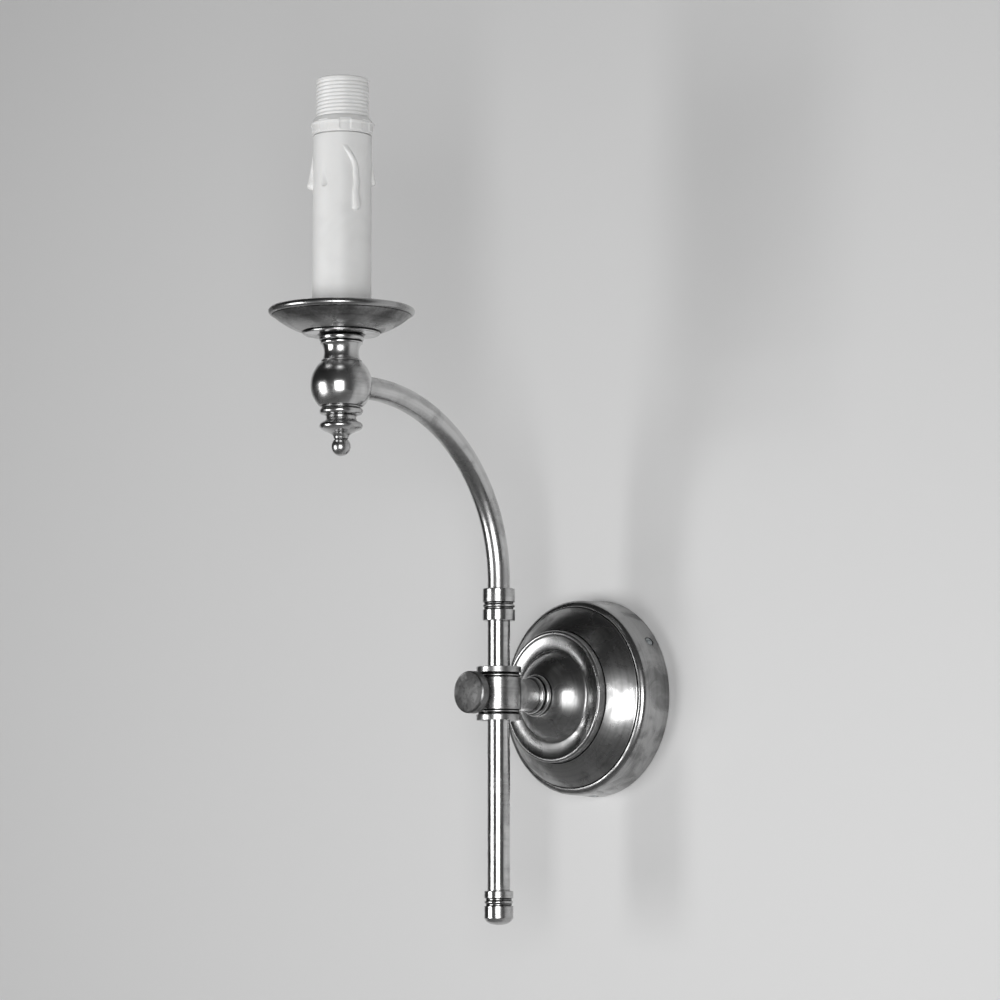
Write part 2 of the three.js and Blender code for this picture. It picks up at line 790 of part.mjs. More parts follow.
const lowerTop = ballFoot - seatGap;
const lowerTurning = () => turned([
  [studWay, lowerFoot],
  [3.8, lowerFoot],
  [6.1, lowerFoot + 3],
  [lowerBeadRadius - 0.5, lowerFoot + 5.2],
  [lowerBeadRadius, lowerFoot + 7],
  [lowerBeadRadius - 1, lowerFoot + 8.8],
  [lowerWaistRadius, lowerFoot + 9.4],
  [lowerWaistRadius, lowerFoot + 12.8],
  [lowerBeadRadius - 1, lowerFoot + 13.3],
  [lowerBeadRadius, lowerFoot + 14.6],
  [lowerBeadRadius, lowerFoot + 16],
  [lowerBeadRadius - 0.7, lowerTop],
  [studWay, lowerTop],
  [studWay, lowerFoot],
], ROUND);
add(onCandle, 'lower_turning', lowerTurning(), agedSilver);

const dropTop = lowerFoot - seatGap;
const dropFinial = () => {
  const topAngle = angleAt(dropRadius, dropTop - dropLevel);
  return turned([
    ...arcPoints([0, dropLevel], dropRadius, -90, topAngle, 7),
    [studWay, dropTop],
    [studWay, dropLevel],
    [0, dropLevel],
  ], SMALL);
};
add(onCandle, 'drop_finial', dropFinial(), agedSilver);

const dropStudSeat = ballFloor + seatGap;
const dropStud = () => turned([
  [0, dropLevel + seatGap],
  [dropStudRadius, dropLevel + seatGap],
  [dropStudRadius, dropStudSeat],
  [2 * dropStudRadius, dropStudSeat],
  [2 * dropStudRadius, dropStudSeat + dropStudHead],
  [0, dropStudSeat + dropStudHead],
], TINY);
add(onCandle, 'drop_stud', dropStud(), zincSteel);

// ---------------------------------------------------------------- candle sleeve

const sleeveFoot = panFloor + seatGap;
const sleeveBore = sleeveRadius - sleeveSkin;
add(onCandle, 'candle_sleeve', washer(sleeveBore, sleeveRadius, sleeveFoot, sleeveTop, FINE),
  candlePlastic);

// ---------------------------------------------------------------- lampholder

const holderRadius = skirtRadius - threadDepth;

const holderCap = () => turned([
  [nippleWay, capBottom],
  [holderRadius - 1, capBottom],
  [holderRadius, capBottom + 1],
  [holderRadius, skirtBottom - seatGap],
  [holderRadius - skirtSkin, skirtBottom - seatGap],
  [holderRadius - skirtSkin, capBottom + 2 * skirtSkin],
  [nippleWay, capBottom + 2 * skirtSkin],
  [nippleWay, capBottom],
], ROUND);
add(onCandle, 'holder_cap', holderCap(), holderPlastic);

const holderNutFoot = capBottom + 2 * skirtSkin + seatGap;
add(onCandle, 'holder_nut', hexNut(nutAcrossFlats, nippleWay, holderNutFoot,
  candleNippleTop - 1), rawBrass);

const holderSkirt = () => turned([
  [skirtBore, skirtBottom],
  [holderRadius, skirtBottom],
  [holderRadius, skirtThreadBottom],
  [skirtRadius, skirtThreadBottom],
  [skirtRadius, skirtTop - edge],
  [skirtRadius - edge, skirtTop],
  [skirtLip, skirtTop],
  [skirtLip, skirtTop - skirtSkin],
  [skirtBore, skirtTop - skirtSkin],
  [skirtBore, skirtBottom],
], ROUND);
add(onCandle, 'holder_skirt', holderSkirt(), holderPlastic);

const shellWay = shellRadius + seatGap;
const holderInsert = () => turned([
  [0, insertBottom],
  [insertRadius, insertBottom],
  [insertRadius, insertTop],
  [shellWay, insertTop],
  [shellWay, shellBottom - seatGap],
  [shellWay - insertStep, shellBottom - seatGap],
  [shellWay - insertStep, insertFloor],
  [0, insertFloor],
], ROUND);
add(onCandle, 'holder_insert', holderInsert(), holderPlastic);

add(onCandle, 'screw_shell', washer(shellRadius - shellSkin, shellRadius, shellBottom, shellTop),
  rawBrass);

// Sprung centre contact: a strip folded back over itself, with a raised tongue.
const contactFoot = insertFloor + seatGap;
const centreContact = () => {
  const length = contactWidth * 1.7;
  const riser = contactThickness * 2.6;
  const foot = box(contactWidth, length, contactThickness,
    [0, 0, contactFoot + contactThickness / 2]);
  const bend = box(contactWidth, contactThickness, riser,
    [0, (contactThickness - length) / 2, contactFoot + riser / 2]);
  const tongue = box(contactWidth, length, contactThickness, [0, length / 2, 0])
    .rotateX(radians(contactTilt))
    .translate(0, -length / 2, contactFoot + riser - contactThickness / 2);
  return join(foot, bend, tongue);
};
add(onCandle, 'centre_contact', centreContact(), bronze);

// ---------------------------------------------------------------- shade ring

const shadeRing = () => {
  const bore = skirtRadius + shadeRingGap;
  const body = turned([
    [bore, shadeRingBottom],
    [shadeRingWallRadius, shadeRingBottom],
    [shadeRingWallRadius, shadeRingFlange - 1],
    [shadeRingRadius, shadeRingFlange],
    [shadeRingRadius - 0.4, shadeRingFlange + 1],
    [bore + 0.3, shadeRingTop],
    [bore, shadeRingTop],
    [bore, shadeRingBottom],
  ], FINE);
  const width = 2 * shadeRingRadius * Math.sin(radians(shadeRingNotch / 2));
  const depth = shadeRingRadius - shadeRingWallRadius;
  const middle = shadeRingRadius + depth * 0.1;
  const notches = Array.from({ length: shadeRingLugs }, (_, i) =>
    box(depth, width, shadeRingTop, [middle, 0, shadeRingFlange])
      .rotateZ(radians(shadeRingTurn) + TAU * i / shadeRingLugs));
  return cut(body, ...notches);
};
add(onCandle, 'shade_ring', shadeRing(), holderPlastic);

// ---------------------------------------------------------------- terminals

const terminalBlock = () => {
  const body = box(...terminalSize, terminalMiddle);
  const ways = [-1, 0, 1].flatMap((place) => {
    const x = terminalMiddle[0] + place * terminalPitch;
    const way = barAlongY(terminalWay, -terminalSize[1], terminalSize[1], TINY)
      .translate(x, terminalMiddle[1], terminalMiddle[2] - terminalWayDrop);
    const well = rodShape(terminalScrewRadius + seatGap, -1, terminalSize[2], TINY)
      .translate(x, terminalMiddle[1], terminalMiddle[2]);
    return [way, well];
  });
  return cut(body, ...ways);
};
add(onWall, 'terminal_block', terminalBlock(), terminalPlastic);

[-1, 0, 1].forEach((place, index) => {
  const foot = terminalMiddle[2] + seatGap;
  const top = foot + terminalScrewLength;
  const screw = cut(rodShape(terminalScrewRadius, foot, top, TINY),
    box(4 * terminalScrewRadius, slotCut, 2 * slotCut, [0, 0, top]));
  const mesh = add(onWall, `terminal_screw_${index + 1}`, screw, zincSteel);
  mesh.position.x = terminalMiddle[0] + place * terminalPitch;
  mesh.position.y = terminalMiddle[1];
});

const earthScrew = () => {
  const seat = bracketThickness + seatGap;
  const body = turned([
    [0, 0.2],
    [earthScrewRadius, 0.2],
    [earthScrewRadius, seat],
    [earthScrewHead, seat],
    [earthScrewHead, seat + 1.4],
    [earthScrewHead * 0.6, seat + 2.2],
    [0, seat + 2.2],
  ], TINY);
  return cut(body, box(3 * earthScrewHead, slotCut, 2 * slotCut, [0, 0, seat + 2.2]));
};
const earthMesh = add(onWall, 'earth_screw', earthScrew(), rawBrass);
earthMesh.position.set(...earthPlace, 0);

// ---------------------------------------------------------------- wiring

// Supply lead, terminal block to the clamp, through the nipple and the stub.
const feedEnd = rodReach - bushOuter - 2 * looseGap;
const feedStart = terminalMiddle[1] + terminalSize[1] / 2 + looseGap;
const feedPath = smoothPath([
  [0, feedStart, terminalMiddle[2]],
  [0, feedStart + 4, terminalMiddle[2]],
  [0, feedStart + 13, terminalMiddle[2] + 6],
  [0, -1.8, nippleBack - 14],
  [0, 0, nippleBack - 2],
  [0, 0, nippleBack + 10],
  [0, 0, collarTop],
  [0, 0, feedEnd],
]);
add(onWall, 'feed_lead', sweep(feedPath, feedRadius, 8, 16), flexSheath);

// Earth wire, from under the earth screw round to the terminal block.
const earthPath = smoothPath([
  [6, earthPlace[1] - 3, bracketThickness + 3],
  [13, earthPlace[1] - 8, bracketThickness + 4],
  [19, 6, bracketThickness + 5],
  [16, -12, bracketThickness + 5.5],
  [terminalPitch, feedStart + 4, terminalMiddle[2] - terminalWayDrop],
  [terminalPitch, feedStart, terminalMiddle[2] - terminalWayDrop],
]);
add(onWall, 'earth_wire', sweep(earthPath, earthWireRadius, 8, 16), flexSheath);

// Arm flex, from the rod's slot up the rod, round the bend and up into the
// lampholder.
const ballBend = 9;
const flexBottom = -4;
const flexTop = armLevel + insertBottom - 6;
const flexPath = new THREE.CurvePath();
flexPath.add(new THREE.LineCurve3(
  new THREE.Vector3(0, 0, flexBottom),
  new THREE.Vector3(0, 0, armLevel - armBend)));
flexPath.add(new QuarterBend());
flexPath.add(new THREE.LineCurve3(
  new THREE.Vector3(0, -armBend, armLevel),
  new THREE.Vector3(0, ballBend - armReach, armLevel)));
flexPath.add(new THREE.QuadraticBezierCurve3(
  new THREE.Vector3(0, ballBend - armReach, armLevel),
  new THREE.Vector3(0, -armReach, armLevel),
  new THREE.Vector3(0, -armReach, armLevel + ballBend)));
flexPath.add(new THREE.LineCurve3(
  new THREE.Vector3(0, -armReach, armLevel + ballBend),
  new THREE.Vector3(0, -armReach, flexTop)));
add(onRod, 'arm_flex', sweep(flexPath, flexRadius, 8, 44), flexSheath);

export default light;
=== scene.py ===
"""Wall light with a candle-style lamp on a rising, swinging arm: its finishes and fine shapes.

Metres, +Z up, +Y into the wall. Outlines are in millimetres: radius, then height.
"""

import json
import math

import bmesh
import bpy
import numpy as np
from mathutils import Matrix, Vector


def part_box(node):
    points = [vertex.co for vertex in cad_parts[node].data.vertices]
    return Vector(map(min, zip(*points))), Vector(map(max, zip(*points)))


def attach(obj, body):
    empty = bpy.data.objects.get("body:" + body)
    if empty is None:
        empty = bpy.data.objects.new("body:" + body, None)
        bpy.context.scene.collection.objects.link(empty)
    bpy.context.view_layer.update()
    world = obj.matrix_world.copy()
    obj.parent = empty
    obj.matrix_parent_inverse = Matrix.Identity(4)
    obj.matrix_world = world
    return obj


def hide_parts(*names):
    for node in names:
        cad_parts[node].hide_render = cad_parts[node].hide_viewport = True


bl_info = {
    "name": "Swing Arm Wall Light",
    "version": (1, 0, 0),
    "blender": (4, 5, 0),
    "location": "3D View > Sidebar > Wall Light",
    "description": "Builds the finished pieces of a swing arm wall light on its frame",
    "category": "Add Mesh",
}

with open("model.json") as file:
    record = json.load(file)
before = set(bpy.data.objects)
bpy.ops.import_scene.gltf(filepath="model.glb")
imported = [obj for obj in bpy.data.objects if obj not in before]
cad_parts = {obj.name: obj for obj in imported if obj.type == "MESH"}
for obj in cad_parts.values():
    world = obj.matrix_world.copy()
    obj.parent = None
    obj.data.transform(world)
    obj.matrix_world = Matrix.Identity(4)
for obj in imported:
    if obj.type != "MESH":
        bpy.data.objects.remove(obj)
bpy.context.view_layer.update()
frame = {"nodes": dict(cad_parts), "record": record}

MM = 0.001
FINE = 160  # facets round a large turned piece
ROUND = 112  # facets round a small turned piece
SMALL = 72  # facets of a cutting tool
CREASE = math.radians(34)  # an edge that turns more than this breaks the highlight
JOINED = 0.0004  # points closer than this are one, in millimetres

# widths of the patterns in the finishes, in millimetres
SPECK_SIZE = 1.6
WAVE_SIZE = 16
METAL_CLOUD = 6
FLOW_MARK = 22
PAINT_GRAIN = 1.4
FLOOR_CLOUD = 300

FLOOR_LEVEL = -1.7


# ------------------------------------------------------------ sizes from the frame


def span(node):
    """Lowest and highest corner of a frame node, in millimetres."""
    low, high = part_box(node)
    return low / MM, high / MM


def wide(node):
    """Half the width of a frame node across X, in millimetres."""
    low, high = span(node)
    return (high.x - low.x) / 2


PLATE_RADIUS = wide("backplate")
PLATE_DEPTH = -span("backplate")[0].y
TUBE_RADIUS = wide("arm_tube")
ARM_LEVEL = span("arm_tube")[1].z - TUBE_RADIUS
ROD_Y = (span("clamp_body")[0].y + span("clamp_body")[1].y) / 2
CANDLE_Y = (span("candle_sleeve")[0].y + span("candle_sleeve")[1].y) / 2
SLEEVE_RADIUS = wide("candle_sleeve")
PAN_RADIUS = wide("drip_pan")
KNOB_RADIUS = wide("thumb_knob")
THREAD_RADIUS = wide("holder_skirt")
BALL_RADIUS = wide("arm_tube") + 10.2
SIDE_HOLE = 2.75  # radius of the holes for the side screws
TUBE_WALL = 1.65  # of the rod and the curved arm
ROD_AT = (0, ROD_Y, 0)
CANDLE_AT = (0, CANDLE_Y, 0)
BALL_AT = (0, CANDLE_Y, ARM_LEVEL)


# ------------------------------------------------------------ colour


def linear(hex_colour):
    """An sRGB hex colour as linear RGBA."""
    channels = [int(hex_colour[i : i + 2], 16) / 255 for i in (1, 3, 5)]
    return tuple(c / 12.92 if c <= 0.04045 else ((c + 0.055) / 1.055) ** 2.4 for c in channels) + (1.0,)


def colour_property(name, description, hex_colour):
    """A colour that the sidebar shows."""
    return bpy.props.FloatVectorProperty(
        name=name,
        description=description,
        default=linear(hex_colour),
        size=4,
        min=0,
        max=1,
        subtype="COLOR",
    )


def length_property(name, description, millimetres):
    """A length that the sidebar shows."""
    return bpy.props.FloatProperty(
        name=name,
        description=description,
        default=millimetres * MM,
        min=0,
        precision=5,
        subtype="DISTANCE",
        unit="LENGTH",
    )


def power_property(name, description, watts):
    """A lamp's power that the sidebar shows."""
    return bpy.props.FloatProperty(
        name=name,
        description=description,
        default=watts,
        min=0,
        subtype="POWER",
        unit="POWER",
    )


class WallLightSizes(bpy.types.PropertyGroup):
    """Sizes of the pieces' fine shapes"""

    plate_radius: length_property("Plate radius", "Outer radius of the backplate", PLATE_RADIUS)
    plate_depth: length_property("Plate depth", "Wall to the flat middle of the backplate", PLATE_DEPTH)
    tube_radius: length_property("Tube radius", "Radius of the rod and the curved arm", TUBE_RADIUS)
    ball_radius: length_property("Ball radius", "Radius of the ball under the drip pan", BALL_RADIUS)
    pan_radius: length_property("Pan radius", "Outer radius of the drip pan", PAN_RADIUS)
    knob_radius: length_property("Knob radius", "Radius of the thumb screw's knob", KNOB_RADIUS)
    knurl_depth: length_property("Knurl depth", "Depth of the knob's diamond knurl", 0.16)
    sleeve_radius: length_property("Candle radius", "Radius of the candle sleeve", SLEEVE_RADIUS)
    drip_height: length_property("Drip height", "How far the thickest wax drip stands out", 3.7)
    thread_radius: length_property("Thread radius", "Outer radius of the lampholder's thread", THREAD_RADIUS)
    thread_pitch: length_property("Thread pitch", "Pitch of the lampholder's thread", 2.0)
    thread_depth: length_property("Thread depth", "Depth of the lampholder's thread", 0.3)
    patina_size: length_property("Patina size", "Width of a cloud in the silver's patina", 16)
    polish_pitch: length_property("Polishing pitch", "Space between the silver's polishing lines", 0.45)


class WallLightColours(bpy.types.PropertyGroup):
    """Colours of the finishes and strength of the lamps"""

    silver: colour_property("Silver", "Polished silver plate", "#d2d2d2")
    tarnish: colour_property("Tarnish", "Thin grey tarnish on the plate", "#8c8c8c")
    # black for the tarnish in grooves and for painted shade in hollows and between pieces
    shade_and_tarnish: colour_property("Grime", "Black tarnish left in grooves", "#121212")
    brass: colour_property("Brass", "Unplated turned brass", "#d2b271")
    zinc: colour_property("Zinc", "Zinc plate on steel", "#b4b9bb")
    bronze: colour_property("Bronze", "Phosphor bronze strip and bush", "#b98a5c")
    candle: colour_property("Candle", "Satin off-white candle sleeve", "#efefee")
    holder: colour_property("Lampholder", "White moulded lampholder", "#f0f0ef")
    terminal: colour_property("Terminal", "Natural nylon terminal block", "#e6e3da")
    sheath: colour_property("Flex", "Sheath of the flex", "#d9d7d2")
    wall: colour_property("Wall", "Painted wall", "#dddddd")
    floor: colour_property("Floor", "Pale floor", "#d6d6d6")
    left_lamp: power_property("Left softbox", "Power of the left softbox", 7.7)
    right_lamp: power_property("Right softbox", "Power of the right softbox", 8.9)


# ------------------------------------------------------------ materials


def add_node(material, kind, sockets=None, **settings):
    """Adds one node, with its settings, its socket values and the links into it."""
    nodes = material.node_tree.nodes
    made = nodes.new(kind)
    made.location = (-240 * (len(nodes) % 9), -220 * (len(nodes) // 9))
    for name, value in settings.items():
        setattr(made, name, value)
    for name, value in (sockets or {}).items():
        if isinstance(value, bpy.types.NodeSocket):
            material.node_tree.links.new(value, made.inputs[name])
        else:
            made.inputs[name].default_value = value
    return made


def new_material(name):
    """An empty material."""
    material = bpy.data.materials.new(name)
    material.use_nodes = True
    material.node_tree.nodes.clear()
    return material


def darker(colour, share):
    """A colour scaled down."""
    return tuple(c * share for c in colour[:3]) + (1.0,)


def silver_plate(name, tone, smooth, cloudy, lines, tarnished, streaky=0.3, marks=(0.25, 0.6, 0.75)):
    """Silver-plated brass, rubbed back by hand: grey clouds of tarnish, and black in the grooves and between
    pieces, which is part tarnish and part painted shade.

    tone scales both greys; smooth is the roughness where it is rubbed, cloudy what a cloud adds;
    lines is the polishing lines' depth in millimetres; tarnished and streaky are how strongly the
    clouds and the streaks grey it; marks are where a speck starts, is full, and what it starts at.
    """
    colours = bpy.context.scene.wall_light_colours
    sizes = bpy.context.scene.wall_light_sizes
    silver, tarnish = darker(colours.silver, tone), darker(colours.tarnish, tone)
    material = new_material(name)
    place = add_node(material, "ShaderNodeTexCoord").outputs["Object"]
    # painted shade in hollows and between pieces, with the tarnish that stays there, read from the mesh's
    # attribute
    groove = add_node(material, "ShaderNodeAttribute", attribute_name="shade_and_tarnish").outputs["Fac"]
    along = add_node(material, "ShaderNodeAttribute", attribute_name="along").outputs["Fac"]
    cloud = add_node(
        material,
        "ShaderNodeTexNoise",
        {"Vector": place, "Scale": 1 / sizes.patina_size, "Detail": 4, "Roughness": 0.55, "Distortion": 0.6},
    ).outputs["Fac"]
    speck = add_node(
        material,
        "ShaderNodeTexNoise",
        {"Vector": place, "Scale": 1 / (SPECK_SIZE * MM), "Detail": 3, "Roughness": 0.6},
    ).outputs["Fac"]
    patina = add_node(
        material,
        "ShaderNodeMapRange",
        {"Value": cloud, "From Min": 0.38, "From Max": 0.68},
        interpolation_type="SMOOTHSTEP",
    ).outputs["Result"]
    streak = add_node(
        material,
        "ShaderNodeTexNoise",
        {"W": along, "Scale": 0.22 / sizes.polish_pitch, "Detail": 3.0},
        noise_dimensions="1D",
    ).outputs["Fac"]
    streaked = add_node(
        material,
        "ShaderNodeMapRange",
        {"Value": streak, "From Min": 0.4, "From Max": 0.7, "To Max": streaky},
        interpolation_type="SMOOTHSTEP",
    ).outputs["Result"]
    aged = add_node(material, "ShaderNodeMath", {0: patina, 1: streaked}, operation="ADD").outputs[0]
    greyed = add_node(material, "ShaderNodeMath", {0: aged, 1: tarnished}, operation="MULTIPLY").outputs[0]
    worn = add_node(
        material, "ShaderNodeMix", {0: greyed, 6: silver, 7: tarnish}, data_type="RGBA"
    ).outputs[2]
    start, full, least = marks
    marked = add_node(
        material,
        "ShaderNodeMapRange",
        {"Value": speck, "From Min": start, "From Max": full, "To Min": least},
        interpolation_type="SMOOTHSTEP",
    ).outputs["Result"]
    # the painted shade and tarnish, broken up by specks: it blackens the colour here and roughens the surface
    # below
    speckled_shade_and_tarnish = add_node(material, "ShaderNodeMath", {0: groove, 1: marked}, operation="MULTIPLY").outputs[0]
    blackened = add_node(
        material,
        "ShaderNodeMapRange",
        {"Value": speckled_shade_and_tarnish, "From Min": 0.05, "From Max": 0.32},
        interpolation_type="SMOOTHSTEP",
    ).outputs["Result"]
    base = add_node(
        material, "ShaderNodeMix", {0: blackened, 6: worn, 7: colours.shade_and_tarnish}, data_type="RGBA"
    ).outputs[2]
    dull = add_node(
        material,
        "ShaderNodeMapRange",
        {"Value": patina, "To Min": smooth, "To Max": smooth + cloudy},
        interpolation_type="SMOOTHSTEP",
    ).outputs["Result"]
    crusted = add_node(material, "ShaderNodeMath", {0: speckled_shade_and_tarnish, 1: 0.35}, operation="MULTIPLY").outputs[0]
    rough = add_node(material, "ShaderNodeMath", {0: dull, 1: crusted}, operation="ADD").outputs[0]
    # 1-D noise along the outline stands for the polishing lines round a turned
    # piece; the real ones are finer than shows, so they are drawn wider
    line = add_node(
        material,
        "ShaderNodeTexNoise",
        {"W": along, "Scale": 1 / sizes.polish_pitch, "Detail": 2.0},
        noise_dimensions="1D",
    ).outputs["Fac"]
    # the slight unevenness that hand polishing leaves
    wave = add_node(
        material, "ShaderNodeTexNoise", {"Vector": place, "Scale": 1 / (WAVE_SIZE * MM), "Detail": 1}
    ).outputs["Fac"]
    uneven = add_node(
        material, "ShaderNodeBump", {"Height": wave, "Distance": 0.035 * MM, "Strength": 1.0}
    ).outputs["Normal"]
    lined = add_node(
        material,
        "ShaderNodeBump",
        {"Height": line, "Distance": lines * MM, "Strength": 1.0, "Normal": uneven},
    ).outputs["Normal"]
    shader = add_node(
        material,
        "ShaderNodeBsdfPrincipled",
        {"Base Color": base, "Metallic": 1.0, "Roughness": rough, "Normal": lined},
    )
    add_node(material, "ShaderNodeOutputMaterial", {"Surface": shader.outputs[0]})
    return material


def plain_metal(name, colour, shade, rough, grain_mm):
    """A metal with a fine grain and faint clouds."""
    material = new_material(name)
    place = add_node(material, "ShaderNodeTexCoord").outputs["Object"]
    cloud = add_node(
        material,
        "ShaderNodeTexNoise",
        {"Vector": place, "Scale": 1 / (METAL_CLOUD * MM), "Detail": 3, "Roughness": 0.6},
    ).outputs["Fac"]
    grain = add_node(
        material, "ShaderNodeTexNoise", {"Vector": place, "Scale": 1 / (grain_mm * MM), "Detail": 2}
    ).outputs["Fac"]
    clouded = add_node(
        material,
        "ShaderNodeMapRange",
        {"Value": cloud, "From Min": 0.35, "From Max": 0.75},
        interpolation_type="SMOOTHSTEP",
    ).outputs["Result"]
    base = add_node(
        material,
        "ShaderNodeMix",
        {0: clouded, 6: tuple(colour), 7: darker(colour, shade)},
        data_type="RGBA",
    ).outputs[2]
    dull = add_node(
        material,
        "ShaderNodeMapRange",
        {"Value": cloud, "From Min": 0.2, "From Max": 0.8, "To Min": rough - 0.06, "To Max": rough + 0.1},
        interpolation_type="SMOOTHSTEP",
    ).outputs["Result"]
    grained = add_node(
        material, "ShaderNodeBump", {"Height": grain, "Distance": 0.012 * MM, "Strength": 1.0}
    ).outputs["Normal"]
    shader = add_node(
        material,
        "ShaderNodeBsdfPrincipled",
        {"Base Color": base, "Metallic": 1.0, "Roughness": dull, "Normal": grained},
    )
    add_node(material, "ShaderNodeOutputMaterial", {"Surface": shader.outputs[0]})
    return material


def moulded(name, colour, shade, rough, grain_mm, grain_depth, translucent):
    """A moulded plastic: faint flow marks, a fine grain and a little light let through."""
    material = new_material(name)
    place = add_node(material, "ShaderNodeTexCoord").outputs["Object"]
    groove = add_node(material, "ShaderNodeAttribute", attribute_name="shade_and_tarnish").outputs["Fac"]
    flow = add_node(
        material,
        "ShaderNodeTexNoise",
        {"Vector": place, "Scale": 1 / (FLOW_MARK * MM), "Detail": 3, "Roughness": 0.5, "Distortion": 0.4},
    ).outputs["Fac"]
    grain = add_node(
        material,
        "ShaderNodeTexNoise",
        {"Vector": place, "Scale": 1 / (grain_mm * MM), "Detail": 3, "Roughness": 0.6},
    ).outputs["Fac"]
    flowed = add_node(
        material,
        "ShaderNodeMapRange",
        {"Value": flow, "From Min": 0.4, "From Max": 0.75, "To Max": 0.35},
        interpolation_type="SMOOTHSTEP",
    ).outputs["Result"]
    # painted shade from the mesh's attribute: in hollows, between pieces and in the candle sleeve's dimple
    painted_shade = add_node(
        material,
        "ShaderNodeMapRange",
        {"Value": groove, "From Min": 0.2, "From Max": 1.0},
        interpolation_type="SMOOTHSTEP",
    ).outputs["Result"]
    shaded = add_node(material, "ShaderNodeMath", {0: flowed, 1: painted_shade}, operation="MAXIMUM").outputs[0]
    base = add_node(
        material,
        "ShaderNodeMix",
        {0: shaded, 6: tuple(colour), 7: darker(colour, shade)},
        data_type="RGBA",
    ).outputs[2]
    dull = add_node(
        material,
        "ShaderNodeMapRange",
        {"Value": grain, "From Min": 0.2, "From Max": 0.8, "To Min": rough - 0.05, "To Max": rough + 0.07},
        interpolation_type="SMOOTHSTEP",
    ).outputs["Result"]
    grained = add_node(
        material, "ShaderNodeBump", {"Height": grain, "Distance": grain_depth * MM, "Strength": 1.0}
    ).outputs["Normal"]
    shader = add_node(
        material,
        "ShaderNodeBsdfPrincipled",
        {
            "Base Color": base,
            "Roughness": dull,
            "IOR": 1.49,
            "Subsurface Weight": translucent,
            "Subsurface Radius": (1.2, 1.1, 1.0),
            "Subsurface Scale": 0.002,
            "Normal": grained,
        },
    )
    add_node(material, "ShaderNodeOutputMaterial", {"Surface": shader.outputs[0]})
    return material


def make_materials():
    """All the object's finishes, by the frame's slots and their variants."""
    colours = bpy.context.scene.wall_light_colours
    return {
        # mirror-like with soft edges to its highlights and slow clouds
        "polished": silver_plate("Silver_Plate_Polished_Aged", 1.0, 0.18, 0.1, 0.001, 0.5),
        # darker and softly blurred, with slow clouds of tarnish
        "spun": silver_plate("Silver_Plate_Spun_Dark_Aged", 0.7, 0.22, 0.12, 0.001, 0.8, 0.2),
        # a duller, finely lined sheen on straight turned faces
        "satin": silver_plate("Silver_Plate_Satin_Aged", 0.9, 0.25, 0.12, 0.003, 0.7),
        # a flat face rubbed matt, mottled with small dark marks
        "mottled": silver_plate(
            "Silver_Plate_Matt_Mottled", 0.7, 0.28, 0.12, 0.0, 0.9, streaky=0.0, marks=(0.5, 0.66, 0.92)
        ),
        # warm yellow, softly lined
        "raw_brass": plain_metal("Brass_Turned_Unplated", colours.brass, 0.72, 0.28, 0.3),
        # pale blue-grey, softly blurred
        "zinc_steel": plain_metal("Steel_Zinc_Plated", colours.zinc, 0.7, 0.36, 0.25),
        # brown-gold, bright
        "bronze": plain_metal("Phosphor_Bronze_Rolled", colours.bronze, 0.7, 0.3, 0.25),
        # soft satin with a little glow at its edges
        "candle_plastic": moulded(
            "Polypropylene_Moulded_Satin", colours.candle, 0.8, 0.42, 0.9, 0.006, 0.1
        ),
        # whiter and a little glossier than the sleeve
        "holder_plastic": moulded("Thermoset_Moulded_White", colours.holder, 0.72, 0.36, 0.6, 0.004, 0.12),
        # milky nylon
        "terminal_plastic": moulded(
            "Nylon_Natural_Moulded", colours.terminal, 0.8, 0.4, 0.5, 0.004, 0.3
        ),
        # soft, slightly dull sheath
        "flex_sheath": moulded("PVC_Extruded_Sheath", colours.sheath, 0.8, 0.5, 0.4, 0.01, 0.1),
    }


MATERIALS = {}


# ------------------------------------------------------------ outlines


def arc(centre, radius, start, end, steps=10):
    """Points on an arc, angles in degrees."""
    turns = [math.radians(start + (end - start) * i / steps) for i in range(steps + 1)]
    return [(centre[0] + radius * math.cos(a), centre[1] + radius * math.sin(a)) for a in turns]


def bowed(start, end, bulge, steps=12):
    """Both ends and the points between them, bowed sideways."""
    along = (end[0] - start[0], end[1] - start[1])
    length = math.hypot(*along)
    points = []
    for i in range(steps + 1):
        t = i / steps
        lift = 4 * bulge * t * (1 - t) / length
        points.append((start[0] + along[0] * t + along[1] * lift, start[1] + along[1] * t - along[0] * lift))
    return points


def flowing(points, steps=5):
    """A smooth curve through every point."""
    known = [points[0], *points, points[-1]]
    curve = [points[0]]
    for a, b, c, d in zip(known, known[1:], known[2:], known[3:]):
        for i in range(1, steps + 1):
            t = i / steps
            curve.append(
                tuple(
                    0.5
                    * (
                        2 * b[k]
                        + (c[k] - a[k]) * t
                        + (2 * a[k] - 5 * b[k] + 4 * c[k] - d[k]) * t * t
                        + (3 * b[k] - a[k] - 3 * c[k] + d[k]) * t**3
                    )
                    for k in (0, 1)
                )
            )
    return curve


def eased(outline, closed, radius=0.22, steps=3):
    """The outline with each sharp corner turned into a small round."""
    count = len(outline)
    result = []
    for i, point in enumerate(outline):
        if not closed and i in (0, count - 1):
            result.append(point)
            continue
        before, after = Vector(outline[i - 1]), Vector(outline[(i + 1) % count])
        here = Vector(point)
        back, ahead = before - here, after - here
        if back.length < 1e-6 or ahead.length < 1e-6:
            continue
        turn = math.pi - back.angle(ahead)
        if turn < math.radians(22):
            result.append(point)
            continue
        trim = min(radius, 0.42 * back.length, 0.42 * ahead.length)
        first, last = here + back.normalized() * trim, here + ahead.normalized() * trim
        for step in range(steps + 1):
            t = step / steps
            result.append(tuple(first * (1 - t) ** 2 + here * 2 * t * (1 - t) + last * t * t))
    return result


